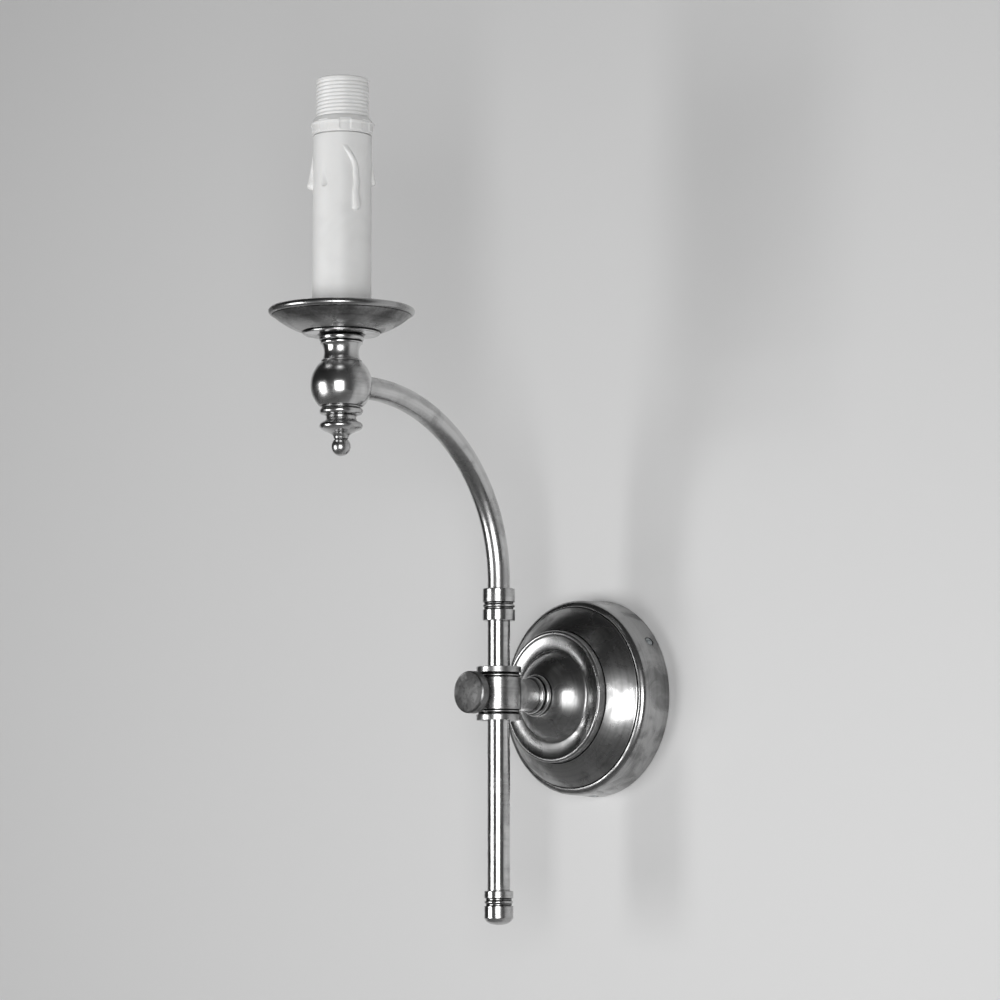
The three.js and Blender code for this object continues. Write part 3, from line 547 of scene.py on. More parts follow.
def refined(outline, closed, longest=6.0):
    """The outline with long runs split, finely next to their ends."""
    count = len(outline)
    result = []
    for i in range(count if closed else count - 1):
        a, b = Vector(outline[i]), Vector(outline[(i + 1) % count])
        length = (b - a).length
        result.append(tuple(a))
        stops = [s for s in (0.35, 0.8, 1.6, 3.0) if s < length * 0.45]
        middle = max(1, math.ceil((length - 2 * (stops[-1] if stops else 0)) / longest))
        inner = stops[-1] if stops else 0
        shares = [*stops, *(inner + (length - 2 * inner) * k / middle for k in range(1, middle))]
        shares += [length - s for s in reversed(stops)]
        result += [tuple(a + (b - a) * (s / length)) for s in shares]
    if not closed:
        result.append(tuple(outline[-1]))
    return result


def occlusion_shade_and_tarnish(points, closed, walls, reach=5.0):
    """For each point, how much of what it faces within reach is blocked by outlines: painted shade in hollows
    and between pieces, and where tarnish stays.
    """
    p = np.array(points, float)
    before, after = np.roll(p, 1, axis=0), np.roll(p, -1, axis=0)
    if not closed:
        before[0], after[-1] = p[0], p[-1]
    tangent = after - before
    tangent /= np.maximum(np.linalg.norm(tangent, axis=1, keepdims=True), 1e-9)
    normal = np.stack([tangent[:, 1], -tangent[:, 0]], axis=1)
    segments = [np.stack([p, np.roll(p, -1, axis=0)], axis=1)[: len(p) if closed else -1]]
    for wall in walls:
        w = np.array(wall, float)
        segments.append(np.stack([w[:-1], w[1:]], axis=1))
    s = np.concatenate(segments)
    a, d = s[:, 0], s[:, 1] - s[:, 0]
    hidden = np.zeros(len(p))
    angles = np.radians(np.arange(-72, 73, 12))
    for angle in angles:
        c, sn = math.cos(angle), math.sin(angle)
        ray = np.stack([normal[:, 0] * c - normal[:, 1] * sn, normal[:, 0] * sn + normal[:, 1] * c], axis=1)
        origin = p + ray * 0.02
        cross = ray[:, None, 0] * d[None, :, 1] - ray[:, None, 1] * d[None, :, 0]
        cross = np.where(np.abs(cross) < 1e-12, 1e-12, cross)
        gap = a[None] - origin[:, None]
        t = (gap[..., 0] * d[None, :, 1] - gap[..., 1] * d[None, :, 0]) / cross
        u = (gap[..., 0] * ray[:, None, 1] - gap[..., 1] * ray[:, None, 0]) / cross
        hit = (t > 0) & (t < reach) & (u >= 0) & (u <= 1)
        nearest = np.where(hit, t, reach).min(axis=1)
        hidden += (1 - nearest / reach) ** 1.5
    return hidden / len(angles)


# ------------------------------------------------------------ meshes


def standing(x, y, z):
    """Turned round an upright axis."""
    return x, y, z


def facing_room(x, y, z):
    """Turned round an axis that points out of the wall."""
    return x, -z, y


def store(mesh, name, values):
    attribute = mesh.attributes.new(name, "FLOAT", "POINT")
    attribute.data.foreach_set("value", np.array(values, np.float32))


def crease_sharp(mesh):
    """Joins the points that a cut left on each other, and marks the edges that a highlight breaks at."""
    bm = bmesh.new()
    bm.from_mesh(mesh)
    bmesh.ops.remove_doubles(bm, verts=bm.verts, dist=JOINED * MM)
    bmesh.ops.recalc_face_normals(bm, faces=bm.faces)
    for edge in bm.edges:
        edge.smooth = edge.calc_face_angle(0) < CREASE
    bm.to_mesh(mesh)
    bm.free()


def turned(
    name,
    outline,
    material,
    body,
    at=(0, 0, 0),
    closed=False,
    facets=ROUND,
    lie=standing,
    shape=None,
    walls=(),
    ease=0.22,
    longest=6.0,
    reach=5.0,
    added_shade_and_wear=None,
):
    """A turned piece.

    closed says that the outline ends where it starts; walls are the outlines beside it, which shade its
    hollows and keep polishing out.
    shape(angle, radius, height) may give each point its own radius, and the last argument adds more
    darkening: painted shade under the pan and in the sleeve's dimple, wear on the knob.
    """
    outline = eased(outline, closed, ease) if ease else outline
    points = refined(outline, closed, longest)
    # painted shade in hollows and between pieces, and where tarnish stays
    shade_and_tarnish = occlusion_shade_and_tarnish(points, closed, walls, reach)
    along = np.concatenate([[0], np.cumsum(np.linalg.norm(np.diff(np.array(points), axis=0), axis=1))]) * MM
    vertices, values, lengths, rings = [], [], [], []
    for (radius, height), occluded, run in zip(points, shade_and_tarnish, along):
        pole = radius < 1e-6
        row = []
        for i in range(1 if pole else facets):
            angle = math.tau * i / facets
            r = shape(angle, radius, height) if shape and not pole else radius
            place = lie(r * math.cos(angle), r * math.sin(angle), height)
            row.append(len(vertices))
            vertices.append(tuple((place[k] + at[k]) * MM for k in range(3)))
            values.append(occluded + (added_shade_and_wear(angle, r, height) if added_shade_and_wear else 0))
            lengths.append(run)
        rings.append(row)
    faces = []
    pairs = list(zip(rings, rings[1:])) + ([(rings[-1], rings[0])] if closed else [])
    for low, high in pairs:
        for i in range(facets):
            j = (i + 1) % facets
            corners = [low[i % len(low)], low[j % len(low)], high[j % len(high)], high[i % len(high)]]
            faces.append(list(dict.fromkeys(corners)))
    mesh = bpy.data.meshes.new(name)
    mesh.from_pydata(vertices, [], [f for f in faces if len(f) > 2])
    store(mesh, "shade_and_tarnish", values)
    store(mesh, "along", lengths)
    crease_sharp(mesh)
    return place_piece(name, mesh, material, body)


def place_piece(name, mesh, material, body):
    """Puts a finished mesh in the scene, on its body."""
    piece = bpy.data.objects.new(name, mesh)
    bpy.context.scene.collection.objects.link(piece)
    mesh.materials.append(MATERIALS[material])
    mesh.shade_smooth()
    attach(piece, body)
    return piece


def ring(inner, outer):
    """A closed outline: the visible outer points, then straight back down the bore."""
    return [*outer, (inner, outer[-1][1]), (inner, outer[0][1])]


def cutter(outline, at=(0, 0, 0), lie=standing, facets=SMALL):
    """A turned solid used to cut a piece."""
    mesh = bpy.data.meshes.new("cutter")
    bm = bmesh.new()
    rings = []
    for radius, height in outline:
        turns = [math.tau * i / facets for i in range(facets)]
        places = [lie(radius * math.cos(a), radius * math.sin(a), height) for a in turns]
        rings.append([bm.verts.new([(p[k] + at[k]) * MM for k in range(3)]) for p in places])
    for low, high in zip(rings, rings[1:]):
        for i in range(facets):
            j = (i + 1) % facets
            bm.faces.new([low[i], low[j], high[j], high[i]])
    bm.faces.new(rings[0])
    bm.faces.new(rings[-1])
    bmesh.ops.recalc_face_normals(bm, faces=bm.faces)
    bm.to_mesh(mesh)
    bm.free()
    return bpy.data.objects.new("cutter", mesh)


def block(low, high):
    """A box, in millimetres, used to cut a piece."""
    bm = bmesh.new()
    bmesh.ops.create_cube(bm, size=1)
    for vertex in bm.verts:
        vertex.co = [(low[k] if vertex.co[k] < 0 else high[k]) * MM for k in range(3)]
    mesh = bpy.data.meshes.new("cutter")
    bm.to_mesh(mesh)
    bm.free()
    return bpy.data.objects.new("cutter", mesh)


def carved(piece, *tools):
    """The piece with every tool cut out of it."""
    for tool in tools:
        bpy.context.scene.collection.objects.link(tool)
        modifier = piece.modifiers.new("cut", "BOOLEAN")
        modifier.operation = "DIFFERENCE"
        modifier.solver = "EXACT"
        modifier.object = tool
    bpy.context.view_layer.update()
    evaluated = piece.evaluated_get(bpy.context.evaluated_depsgraph_get())
    mesh = bpy.data.meshes.new_from_object(evaluated)
    piece.modifiers.clear()
    piece.data = mesh
    for tool in tools:
        bpy.data.objects.remove(tool)
    crease_sharp(piece.data)
    return piece


def swept(name, path, radius, bore, material, body, facets=64):
    """A tube along a path in the plane of the arm, in millimetres."""
    count = len(path)
    line = [Vector(p) for p in path]
    vertices, lengths, shade_and_tarnish, faces = [], [], [], []
    rows = []
    for size in (radius, bore):
        for i, centre in enumerate(line):
            ahead = (line[min(i + 1, count - 1)] - line[max(i - 1, 0)]).normalized()
            side = Vector((1, 0, 0))
            across = ahead.cross(side)
            row = []
            for k in range(facets):
                a = math.tau * k / facets
                row.append(len(vertices))
                vertices.append((centre + side * size * math.cos(a) + across * size * math.sin(a)) * MM)
                lengths.append(a * size * MM)
                # painted shade: the tube is darker along one side
                shade_and_tarnish.append(0.02 + 0.13 * max(0.0, -math.sin(a - 0.5)) ** 3)
            rows.append(row)
    outer, inner = rows[:count], rows[count:]
    loop = [*outer, *reversed(inner), outer[0]]
    for low, high in zip(loop, loop[1:]):
        for k in range(facets):
            j = (k + 1) % facets
            faces.append([low[k], low[j], high[j], high[k]])
    mesh = bpy.data.meshes.new(name)
    mesh.from_pydata(vertices, [], faces)
    store(mesh, "shade_and_tarnish", shade_and_tarnish)
    store(mesh, "along", lengths)
    crease_sharp(mesh)
    return place_piece(name, mesh, material, body)


# ------------------------------------------------------------ pieces


class WALLLIGHT_OT_finishes(bpy.types.Operator):
    """Makes the finishes and gives the plain frame pieces theirs"""

    bl_idname = "wall_light.finishes"
    bl_label = "Finishes"
    bl_options = {"REGISTER", "UNDO"}

    def execute(self, context):
        MATERIALS.clear()
        MATERIALS.update(make_materials())
        slots = {row["node"]: row["material_slot"] for row in frame["record"]["subparts"]}
        for node, piece in frame["nodes"].items():
            slot = slots[node]
            piece.data.materials.clear()
            piece.data.materials.append(MATERIALS["satin" if slot == "aged_silver" else slot])
        return {"FINISHED"}


class WALLLIGHT_OT_backplate(bpy.types.Operator):
    """Spun backplate: rolled edge, ovolo, raised ring, dish and domed boss"""

    bl_idname = "wall_light.backplate"
    bl_label = "Backplate"
    bl_options = {"REGISTER", "UNDO"}

    def execute(self, context):
        sizes = context.scene.wall_light_sizes
        radius, depth = sizes.plate_radius / MM, sizes.plate_depth / MM
        skin = 1.2
        side = radius - 0.7
        bead = (side - 3.9, 16.4)
        rim = [(radius, 0), (radius - 0.35, 8.2), *arc(bead, 3.9, 0, 84, 12)]
        step = [(radius - 4.45, 20.1), (radius - 4.65, 20.15), (radius - 4.8, 20.85)]
        ovolo = bowed((radius - 5.0, 21.0), (radius - 17.8, 31.8), 0.6, 18)
        wire = arc((radius - 19.85, 35.1), 1.6, -8, 142, 14)
        groove = [(radius - 17.95, 31.55), (radius - 18.2, 31.7)]
        dish = bowed((radius - 21.6, 35.9), (radius - 28.6, 35.35), -0.4, 14)
        fillet = [(radius - 29.1, 35.5), (radius - 29.45, 35.8)]
        dome = bowed((radius - 29.75, 36.15), (11.6, depth), 1.35, 20)
        middle = [(5.4, depth)]
        inside = [
            (5.4, depth - skin),
            (11.6 - skin, depth - skin),
            (radius - 31, 33.9),
            (radius - 19, 30.6),
            (radius - 5.3, 19.2),
            (side - skin, 16.4),
            (radius - skin, 0),
        ]
        outline = [*rim, *step, *ovolo, *groove, *wire, *dish, *fillet, *dome, *middle, *inside]
        collar = [(11.6, depth + 0.2), (11.6, depth + 4)]
        plate = turned(
            "backplate_spun",
            outline,
            "spun",
            "wall_assembly",
            closed=True,
            facets=256,
            lie=facing_room,
            walls=[collar],
            ease=0.16,
            longest=2.5,
            reach=4.0,
        )
        carved(plate, *(self.screw_hole(number) for number in (1, 2, 3)))
        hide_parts("backplate")
        return {"FINISHED"}

    @staticmethod
    def screw_hole(number):
        """A round hole on the axis of one side screw, from inside the shell to outside it."""
        _, lie = across_rim(f"side_screw_{number}")
        return cutter([(SIDE_HOLE, 45), (SIDE_HOLE, 62)], lie=lie, facets=32)


def across_rim(node):
    """The way a side screw points, and a lay that stands a turned piece along it."""
    low, high = span(node)
    middle = (low + high) / 2
    out = Vector((middle.x, 0, middle.z)).normalized()
    side = out.cross(Vector((0, 1, 0)))

    def lie(x, y, z):
        return out * z + side * x + Vector((0, y + middle.y, 0))

    return out, lie


class WALLLIGHT_OT_side_screws(bpy.types.Operator):
    """Three small domed screws round the backplate's edge, with straight slots"""

    bl_idname = "wall_light.side_screws"
    bl_label = "Side screws"
    bl_options = {"REGISTER", "UNDO"}

    def execute(self, context):
        for number in (1, 2, 3):
            node = f"side_screw_{number}"
            out, lie = across_rim(node)
            corners = [Vector(v.co) / MM for v in frame["nodes"][node].data.vertices]
            top = max(c.dot(out) for c in corners)
            tip = min(c.dot(out) for c in corners)
            crown = top - 0.75
            head = crown - 1.5
            outline = [
                (0, tip), (1.1, tip), (1.5, tip + 0.5), (1.5, head), (2.35, head), (2.35, crown - 0.6),
                *arc((0, crown - 4.9), 4.9, 62, 90, 8)[:-1], (0, crown),
            ]
            screw = turned(
                f"{node}_domed",
                outline,
                "zinc_steel",
                "wall_assembly",
                facets=48,
                lie=lie,
                ease=0.12,
            )
            slot = block((-0.35, -4, -0.5), (0.35, 4, 0.9))
            turn = Vector((0, 0, 1)).rotation_difference(out)
            slot.data.transform(turn.to_matrix().to_4x4())
            slot.data.transform(Matrix.Translation(lie(0, 0, crown) * MM))
            carved(screw, slot)
            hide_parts(node)
        return {"FINISHED"}


class WALLLIGHT_OT_collar(bpy.types.Operator):
    """Two turned beads and the short stub tube that carries the clamp"""

    bl_idname = "wall_light.collar"
    bl_label = "Collar and stub"
    bl_options = {"REGISTER", "UNDO"}

    def execute(self, context):
        low, high = span("collar")
        back, front = -high.y, -low.y
        outer = wide("collar")
        step = outer - 1.4
        beads = [
            (outer - 1.1, back),
            *arc((outer - 1.5, back + 1.75), 1.5, -70, 76, 12),
            (step - 0.3, back + 3.35),
            (step - 0.35, back + 3.6),
            *arc((step - 1.3, back + 4.95), 1.3, -60, 80, 10),
            (step - 1.35, front),
        ]
        stub_radius = wide("stub_tube")
        stub = [(stub_radius, front), (stub_radius, front + 6)]
        boss = [(25, back - 8), (11.6, back - 0.2)]
        collar = turned(
            "collar_beads",
            ring(5.15, beads),
            "polished",
            "wall_assembly",
            closed=True,
            lie=facing_room,
            walls=[stub, boss],
            ease=0.12,
        )
        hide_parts("collar")
        clamp = wide("clamp_body")
        tube = turned(
            "stub_turned",
            ring(5.3, [(stub_radius, front + 0.15), (stub_radius, -ROD_Y)]),
            "satin",
            "wall_assembly",
            closed=True,
            lie=facing_room,
            walls=[[(stub_radius, front), (step, front - 0.6)]],
            longest=1.5,
        )
        carved(tube, cutter([(clamp + 0.3, -30), (clamp + 0.3, 30)], ROD_AT, facets=160))
        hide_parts("stub_tube")
        return {"FINISHED"}


class WALLLIGHT_OT_clamp(bpy.types.Operator):
    """Clamp body with a fine bead between grooves at each end, and its two flanged bearings"""

    bl_idname = "wall_light.clamp"
    bl_label = "Clamp"
    bl_options = {"REGISTER", "UNDO"}

    def execute(self, context):
        outer = wide("clamp_body")
        end = span("clamp_body")[1].z
        groove = outer - 0.8
        bore = outer - 2.3
        half = [(outer, end - 2.6), (groove, end - 2.55), (groove, end - 1.95), (outer - 0.05, end - 1.87),
                (outer - 0.05, end - 1.15), (groove, end - 1.08), (groove, end)]
        low_half = [(r, -z) for r, z in reversed(half)]
        flange = wide("upper_bearing")
        top = span("upper_bearing")[1].z
        flanges = [[(groove, sign * (end + 0.1)), (flange, sign * (end + 0.15))] for sign in (1, -1)]
        body = turned(
            "clamp_barrel",
            ring(bore, [*low_half, *half]),
            "satin",
            "wall_assembly",
            ROD_AT,
            True,
            FINE,
            walls=flanges,
            ease=0.12,
            longest=2.0,
            reach=2.5,
        )
        carved(
            body,
            cutter([(5.3, -20), (5.3, 0)], ROD_AT, facing_room),
            cutter([(2.65, 0), (2.65, 20)], ROD_AT, facing_room),
        )
        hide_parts("clamp_body")
        bottom = span("upper_bearing")[0].z
        rod = TUBE_RADIUS + 0.09
        for name, sign in (("upper_bearing", 1), ("lower_bearing", -1)):
            outline = [
                (rod, bottom), (bore - 0.15, bottom), (bore - 0.15, end + 0.15), (flange, end + 0.15),
                (flange, top - 0.12), (flange - 0.25, top), (rod, top),
            ]
            placed = [(r, sign * z) for r, z in (outline if sign > 0 else reversed(outline))]
            bearing = turned(
                f"{name}_flange",
                placed,
                "satin",
                "wall_assembly",
                ROD_AT,
                True,
                FINE,
                walls=[[(TUBE_RADIUS, sign * top), (TUBE_RADIUS, sign * (top + 8))]],
                ease=0.15,
                longest=1.5,
                reach=2.0,
            )
            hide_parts(name)
        return {"FINISHED"}


class WALLLIGHT_OT_thumb_screw(bpy.types.Operator):
    """Knurled knob with a rubbed, mottled face, on a threaded stud"""

    bl_idname = "wall_light.thumb_screw"
    bl_label = "Thumb screw"
    bl_options = {"REGISTER", "UNDO"}

    def execute(self, context):
        sizes = context.scene.wall_light_sizes
        radius, depth = sizes.knob_radius / MM, sizes.knurl_depth / MM
        low, high = span("thumb_knob")
        face, neck_end = ROD_Y - low.y, ROD_Y - high.y
        back = face - 5.5
        teeth = 84
        twist = 1.6  # height in which the knurl's two threads move on by one turn
        crown = 158  # radius of the face's slight dome
        edge = radius - 0.55
        bore, bore_end = 2.65, face - 1.35
        side_low, side_high = back + 0.5, face - 0.85

        def knurl(angle, r, z):
            if r < edge or not side_low < z < side_high:
                return r
            lead = (z - side_low) / twist * math.tau
            ridge = math.sin((teeth * angle + lead) / 2) * math.sin((teeth * angle - lead) / 2)
            return r - depth * (1 - abs(ridge))

        def rubbed(angle, r, z):
            return 0.25 if r < radius - 0.9 and z > face - 0.5 else 0.2

        rows = [(radius, side_low + (side_high - side_low) * i / 15) for i in range(16)]
        outline = [
            (0, bore_end), (bore, bore_end), (bore, neck_end), (3.6, neck_end), (4.0, neck_end + 0.4),
            (4.0, back - 0.4), (4.4, back), (radius - 0.5, back), *rows, (radius - 0.05, face - 0.75),
            (radius - 0.75, face - 0.1), (radius - 1.0, face - 0.15),
            *arc((0, face - crown), crown, 86.6, 90, 5)[1:],
        ]
        knob = turned(
            "thumb_knob_knurled",
            outline,
            "mottled",
            "thumb_screw",
            ROD_AT,
            facets=teeth * 6,
            lie=facing_room,
            shape=knurl,
            ease=0,
            longest=1.5,
            reach=2.0,
            added_shade_and_wear=rubbed,
        )
        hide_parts("thumb_knob")

        stud_low, stud_high = span("thumb_screw_stud")
        tip, end = ROD_Y - stud_high.y, ROD_Y - stud_low.y
        shoulder = tip + 0.9
        pitch = 1.0

        def thread(angle, r, z):
            if r < 2.2 or z > end - 0.3:
                return r
            turn = (z / pitch + angle / math.tau) % 1
            return r - 0.3 * abs(2 * turn - 1)

        rows = [(2.5, shoulder + 0.4 + (end - shoulder - 0.4) * i / 90) for i in range(91)]
        outline = [(0, tip), (1.2, tip), (1.2, shoulder), (2.05, shoulder), *rows, (0, end)]
        stud = turned(
            "thumb_screw_threaded",
            outline,
            "raw_brass",
            "thumb_screw",
            ROD_AT,
            facets=48,
            lie=facing_room,
            shape=thread,
            ease=0,
            longest=2,
        )
        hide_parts("thumb_screw_stud")
        return {"FINISHED"}


class WALLLIGHT_OT_rod(bpy.types.Operator):
    """Rod with its cable slot, the grooved ferrule and the knob at the rod's foot"""

    bl_idname = "wall_light.rod"
    bl_label = "Rod"
    bl_options = {"REGISTER", "UNDO"}

    def execute(self, context):
        radius = context.scene.wall_light_sizes.tube_radius / MM
        low, high = span("rod")
        ferrule_low, ferrule_high = span("ferrule")
        foot_low, foot_high = span("rod_end_finial")
        outer, foot = wide("ferrule"), wide("rod_end_finial")
        top = low.z + 3.6  # of the knob at the rod's foot
        heights = (low.z, top, ferrule_low.z, high.z)
        rod = turned(
            "rod_slotted",
            ring(radius - TUBE_WALL, [(radius, height) for height in heights]),
            "polished",
            "arm",
            ROD_AT,
            True,
            walls=[
                [(foot, top), (radius + 0.1, top + 0.05)],
                [(radius + 0.1, ferrule_low.z), (outer, ferrule_low.z)],
            ],
            longest=4.0,
            reach=2.0,
        )
        carved(rod, block((-1.7, ROD_Y, -104), (1.7, ROD_Y + 12, 36)))
        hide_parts("rod")

        middle = (ferrule_low.z + ferrule_high.z) / 2
        grooves = self.double_groove(outer, middle - 2.75, middle + 1.45)
        outline = [(outer - 0.3, ferrule_low.z), (outer, ferrule_low.z + 0.3), *grooves,
                   (outer, ferrule_high.z - 0.3), (outer - 0.3, ferrule_high.z)]
        ferrule = turned(
            "ferrule_grooved",
            ring(radius + 0.15, outline),
            "polished",
            "arm",
            ROD_AT,
            True,
            FINE,
            walls=[
                [(radius, ferrule_high.z), (radius, ferrule_high.z + 6)],
                [(radius, ferrule_low.z - 6), (radius, ferrule_low.z)],
            ],
            ease=0.14,
            longest=1.5,
            reach=2.2,
        )
        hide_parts("ferrule")

        shoulder = foot_low.z + 3.5
        rounded = [
            (foot * 0.2, foot_low.z + 0.08),
            (foot * 0.5, foot_low.z + 0.55),
            (foot * 0.78, foot_low.z + 1.55),
            (foot - 0.75, foot_low.z + 2.75),
        ]
        outline = [
            (0, foot_low.z),
            *flowing(rounded, 4),
            (foot - 0.15, shoulder), (foot, shoulder + 0.25),
            *self.double_groove(foot, top - 8.3, top - 3.9),
            (foot, top - 0.3), (foot - 0.3, top), (radius + 0.15, top), (radius + 0.15, low.z - 0.15),
            (radius - 1.8, low.z - 0.15), (radius - 1.8, low.z + 9), (0, low.z + 9),
        ]
        finial = turned(
            "rod_foot_knob",
            outline,
            "polished",
            "arm",
            ROD_AT,
            facets=FINE,
            walls=[[(radius, top), (radius, top + 6)]],
            ease=0.16,
            longest=1.5,
            reach=2.2,
        )
        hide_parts("rod_end_finial")
        return {"FINISHED"}

    @staticmethod
    def double_groove(outer, low, high):
        """Two fine grooves with a round bead between them."""
        step = (high - low) / 3
        middle = (low + high) / 2
        inner = outer - 0.9
        bead = [(outer - 0.1 - 0.3 * t * t, middle + t * step / 2) for t in (-1, -0.6, -0.2, 0.2, 0.6, 1)]
        return [
            (outer, low), (inner, low + 0.15), (inner, low + step - 0.1), *bead,
            (inner, high - step + 0.1), (inner, high - 0.15), (outer, high),
        ]


class WALLLIGHT_OT_arm(bpy.types.Operator):
    """Curved arm, one drawn tube from the ferrule to the ball"""

    bl_idname = "wall_light.arm"
    bl_label = "Curved arm"
    bl_options = {"REGISTER", "UNDO"}

    def execute(self, context):
        radius = context.scene.wall_light_sizes.tube_radius / MM
        low, high = span("arm_tube")
        level = high.z - radius
        run = 20
        bend = ROD_Y - CANDLE_Y - run
        start = [(0, ROD_Y, low.z + (level - bend - low.z) * i / 4) for i in range(4)]
        turn = [(0, ROD_Y - bend * (1 - math.cos(a)), level - bend * (1 - math.sin(a)))
                for a in (math.pi / 2 * i / 56 for i in range(57))]
        end = [(0, turn[-1][1] + (low.y - turn[-1][1]) * i / 3, level) for i in (1, 2, 3)]
        arm = swept("arm_bent_tube", [*start, *turn, *end], radius, radius - TUBE_WALL, "polished", "arm", 80)
        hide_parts("arm_tube")
        return {"FINISHED"}


class WALLLIGHT_OT_candle_fitting(bpy.types.Operator):
    """Ball, stem, seat disc, drip pan and the turned drop below the ball"""

    bl_idname = "wall_light.candle_fitting"
    bl_label = "Candle fitting"
    bl_options = {"REGISTER", "UNDO"}

    def execute(self, context):
        sizes = context.scene.wall_light_sizes
        ball_radius, pan_radius = sizes.ball_radius / MM, sizes.pan_radius / MM
        foot, top = (value.z - ARM_LEVEL for value in span("ball"))
        low_angle = math.degrees(math.asin(foot / ball_radius))
        high_angle = math.degrees(math.asin(top / ball_radius))
        cavity = ball_radius - 3
        ball = [
            (2.15, foot), *arc((0, 0), ball_radius, low_angle, high_angle, 44), (5.15, top),
            (5.15, top - 1.5), *arc((0, 0), cavity, 53, -46, 16), (2.15, foot + 1.5),
        ]
        stem_low, stem_top = (value.z - ARM_LEVEL for value in span("stem"))
        bead = wide("stem")
        # each turned part: the radius, then the height above the part's foot
        foot_bead = [(10.75, 0), (10.95, 0.35), (10.6, 0.8), (10.15, 0.9)]
        waist = flowing([(10.0, 1.2), (9.55, 2.6), (9.3, 4.6), (9.45, 6.6), (10.0, 8.3), (10.7, 9.4)], 6)
        fine_bead = [(11.3, 9.6), (11.4, 10.2), (10.9, 10.6), (10.8, 10.75)]
        stem = [
            *((r, stem_low + z) for r, z in (*foot_bead, *waist, *fine_bead)),
            *arc((bead - 1.7, stem_top - 1.75), 1.7, -80, 80, 14),
            (bead - 1.8, stem_top),
        ]
        disc_low, disc_top = (value.z - ARM_LEVEL for value in span("pan_seat"))
        disc_radius = wide("pan_seat")
        disc_middle = (disc_low + disc_top) / 2
        disc = [(5.2, disc_low), *arc((disc_radius - 0.7, disc_middle), 0.7, -90, 90, 8), (5.2, disc_top)]
        pan_low, pan_top = (value.z - ARM_LEVEL for value in span("drip_pan"))
        lip = 1.85
        lip_centre = (pan_radius - lip, pan_top - lip - 0.02)
        pan = [
            (5.15, pan_low), (21.3, pan_low),
            *bowed((21.7, pan_low + 0.05), (pan_radius - 2.1, pan_top - 3.95), 0.9, 16),
            (pan_radius - 2.0, pan_top - 3.65), *arc(lip_centre, lip, -84, 165, 24),
            *bowed((pan_radius - 4.0, pan_top - 2.3), (21.5, pan_low + 1.1), -0.9, 14),
            (5.15, pan_low + 1.1),
        ]
        drop_low, drop_top = (value.z - ARM_LEVEL for value in span("lower_turning"))
        wide_bead = wide("lower_turning")
        neck = wide_bead - 3.5
        saucer = [
            (3.8, 0.5), (4.3, 1.7), (5.6, 2.9), (7.6, 3.8), (9.6, 4.7), (wide_bead - 0.5, 5.7),
            (wide_bead, 6.9), (wide_bead - 0.35, 8.1), (wide_bead - 1.4, 8.95), (neck + 1.1, 9.5),
            (neck + 0.35, 10.1), (neck, 11.0),
        ]
        lower = [
            (2.15, drop_low), (3.55, drop_low), *flowing([(r, drop_low + z) for r, z in saucer], 6),
            (neck, drop_low + 12.6), (neck + 0.5, drop_low + 12.9),
            *arc((wide_bead - 1.75, drop_low + 14.75), 1.75, -82, 60, 14),
            (wide_bead - 1.25, drop_top - 0.9), (wide_bead - 1.2, drop_top), (2.15, drop_top),
        ]
        tip_low, tip_top = (value.z - ARM_LEVEL for value in span("drop_finial"))
        tip_radius = (wide("drop_finial") + 5.1) / 2
        tip_middle = tip_low + tip_radius
        drop = [
            *arc((0, tip_middle), tip_radius, -90, 40, 24),
            *flowing([(3.75, tip_middle + 3.3), (3.45, tip_middle + 3.5), (3.5, tip_top)], 4),
            (2.15, tip_top), (2.15, tip_middle), (0, tip_middle),
        ]
        outer_lines = {
            "ball": arc((0, 0), ball_radius, low_angle, high_angle, 30),
            "stem": stem[:-1], "disc": disc[1:-1], "pan": pan[1:22], "lower": lower[1:-1], "drop": drop[:-3],
        }

        def neighbours(*names):
            return [outer_lines[name] for name in names]

        # painted shade: the pan's underside is darker, more so towards its rim
        def painted_shade_under_pan(angle, r, z):
            return 0.18 * min(1.0, max(0.0, (r - 20) / 12)) if z < pan_top - 3.9 else 0.0

        sleeve = [(SLEEVE_RADIUS, pan_low + 1.3), (SLEEVE_RADIUS, pan_low + 12)]
        plan = (
            ("ball_turned", ball, "ball", "polished", neighbours("stem", "lower"), True),
            ("stem_turned", ring(5.15, stem), "stem", "polished", neighbours("ball", "disc"), True),
            ("seat_disc", disc, "pan_seat", "polished", neighbours("stem", "pan"), True),
            ("drip_pan_spun", pan, "drip_pan", "spun", [*neighbours("disc", "stem"), sleeve], True),
            ("lower_turning_beads", lower, "lower_turning", "polished", neighbours("ball", "drop"), True),
            ("drop_ball", drop, "drop_finial", "polished", neighbours("lower"), False),
        )
        for name, outline, node, material, walls, closed in plan:
            piece = turned(
                name,
                outline,
                material,
                "arm",
                BALL_AT,
                closed,
                FINE,
                walls=walls,
                ease=0.14,
                longest=2.0,
                reach=3.0,
                added_shade_and_wear=painted_shade_under_pan if node == "drip_pan" else None,
            )
            if node == "ball":
                arm = TUBE_RADIUS + 0.15
                carved(
                    piece,
                    cutter([(arm, -30), (arm, -ball_radius + 2.75)], BALL_AT, facing_room, 96),
                    cutter([(4.6, -ball_radius), (4.6, 0)], BALL_AT, facing_room, 48),
                )
            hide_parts(node)
        return {"FINISHED"}


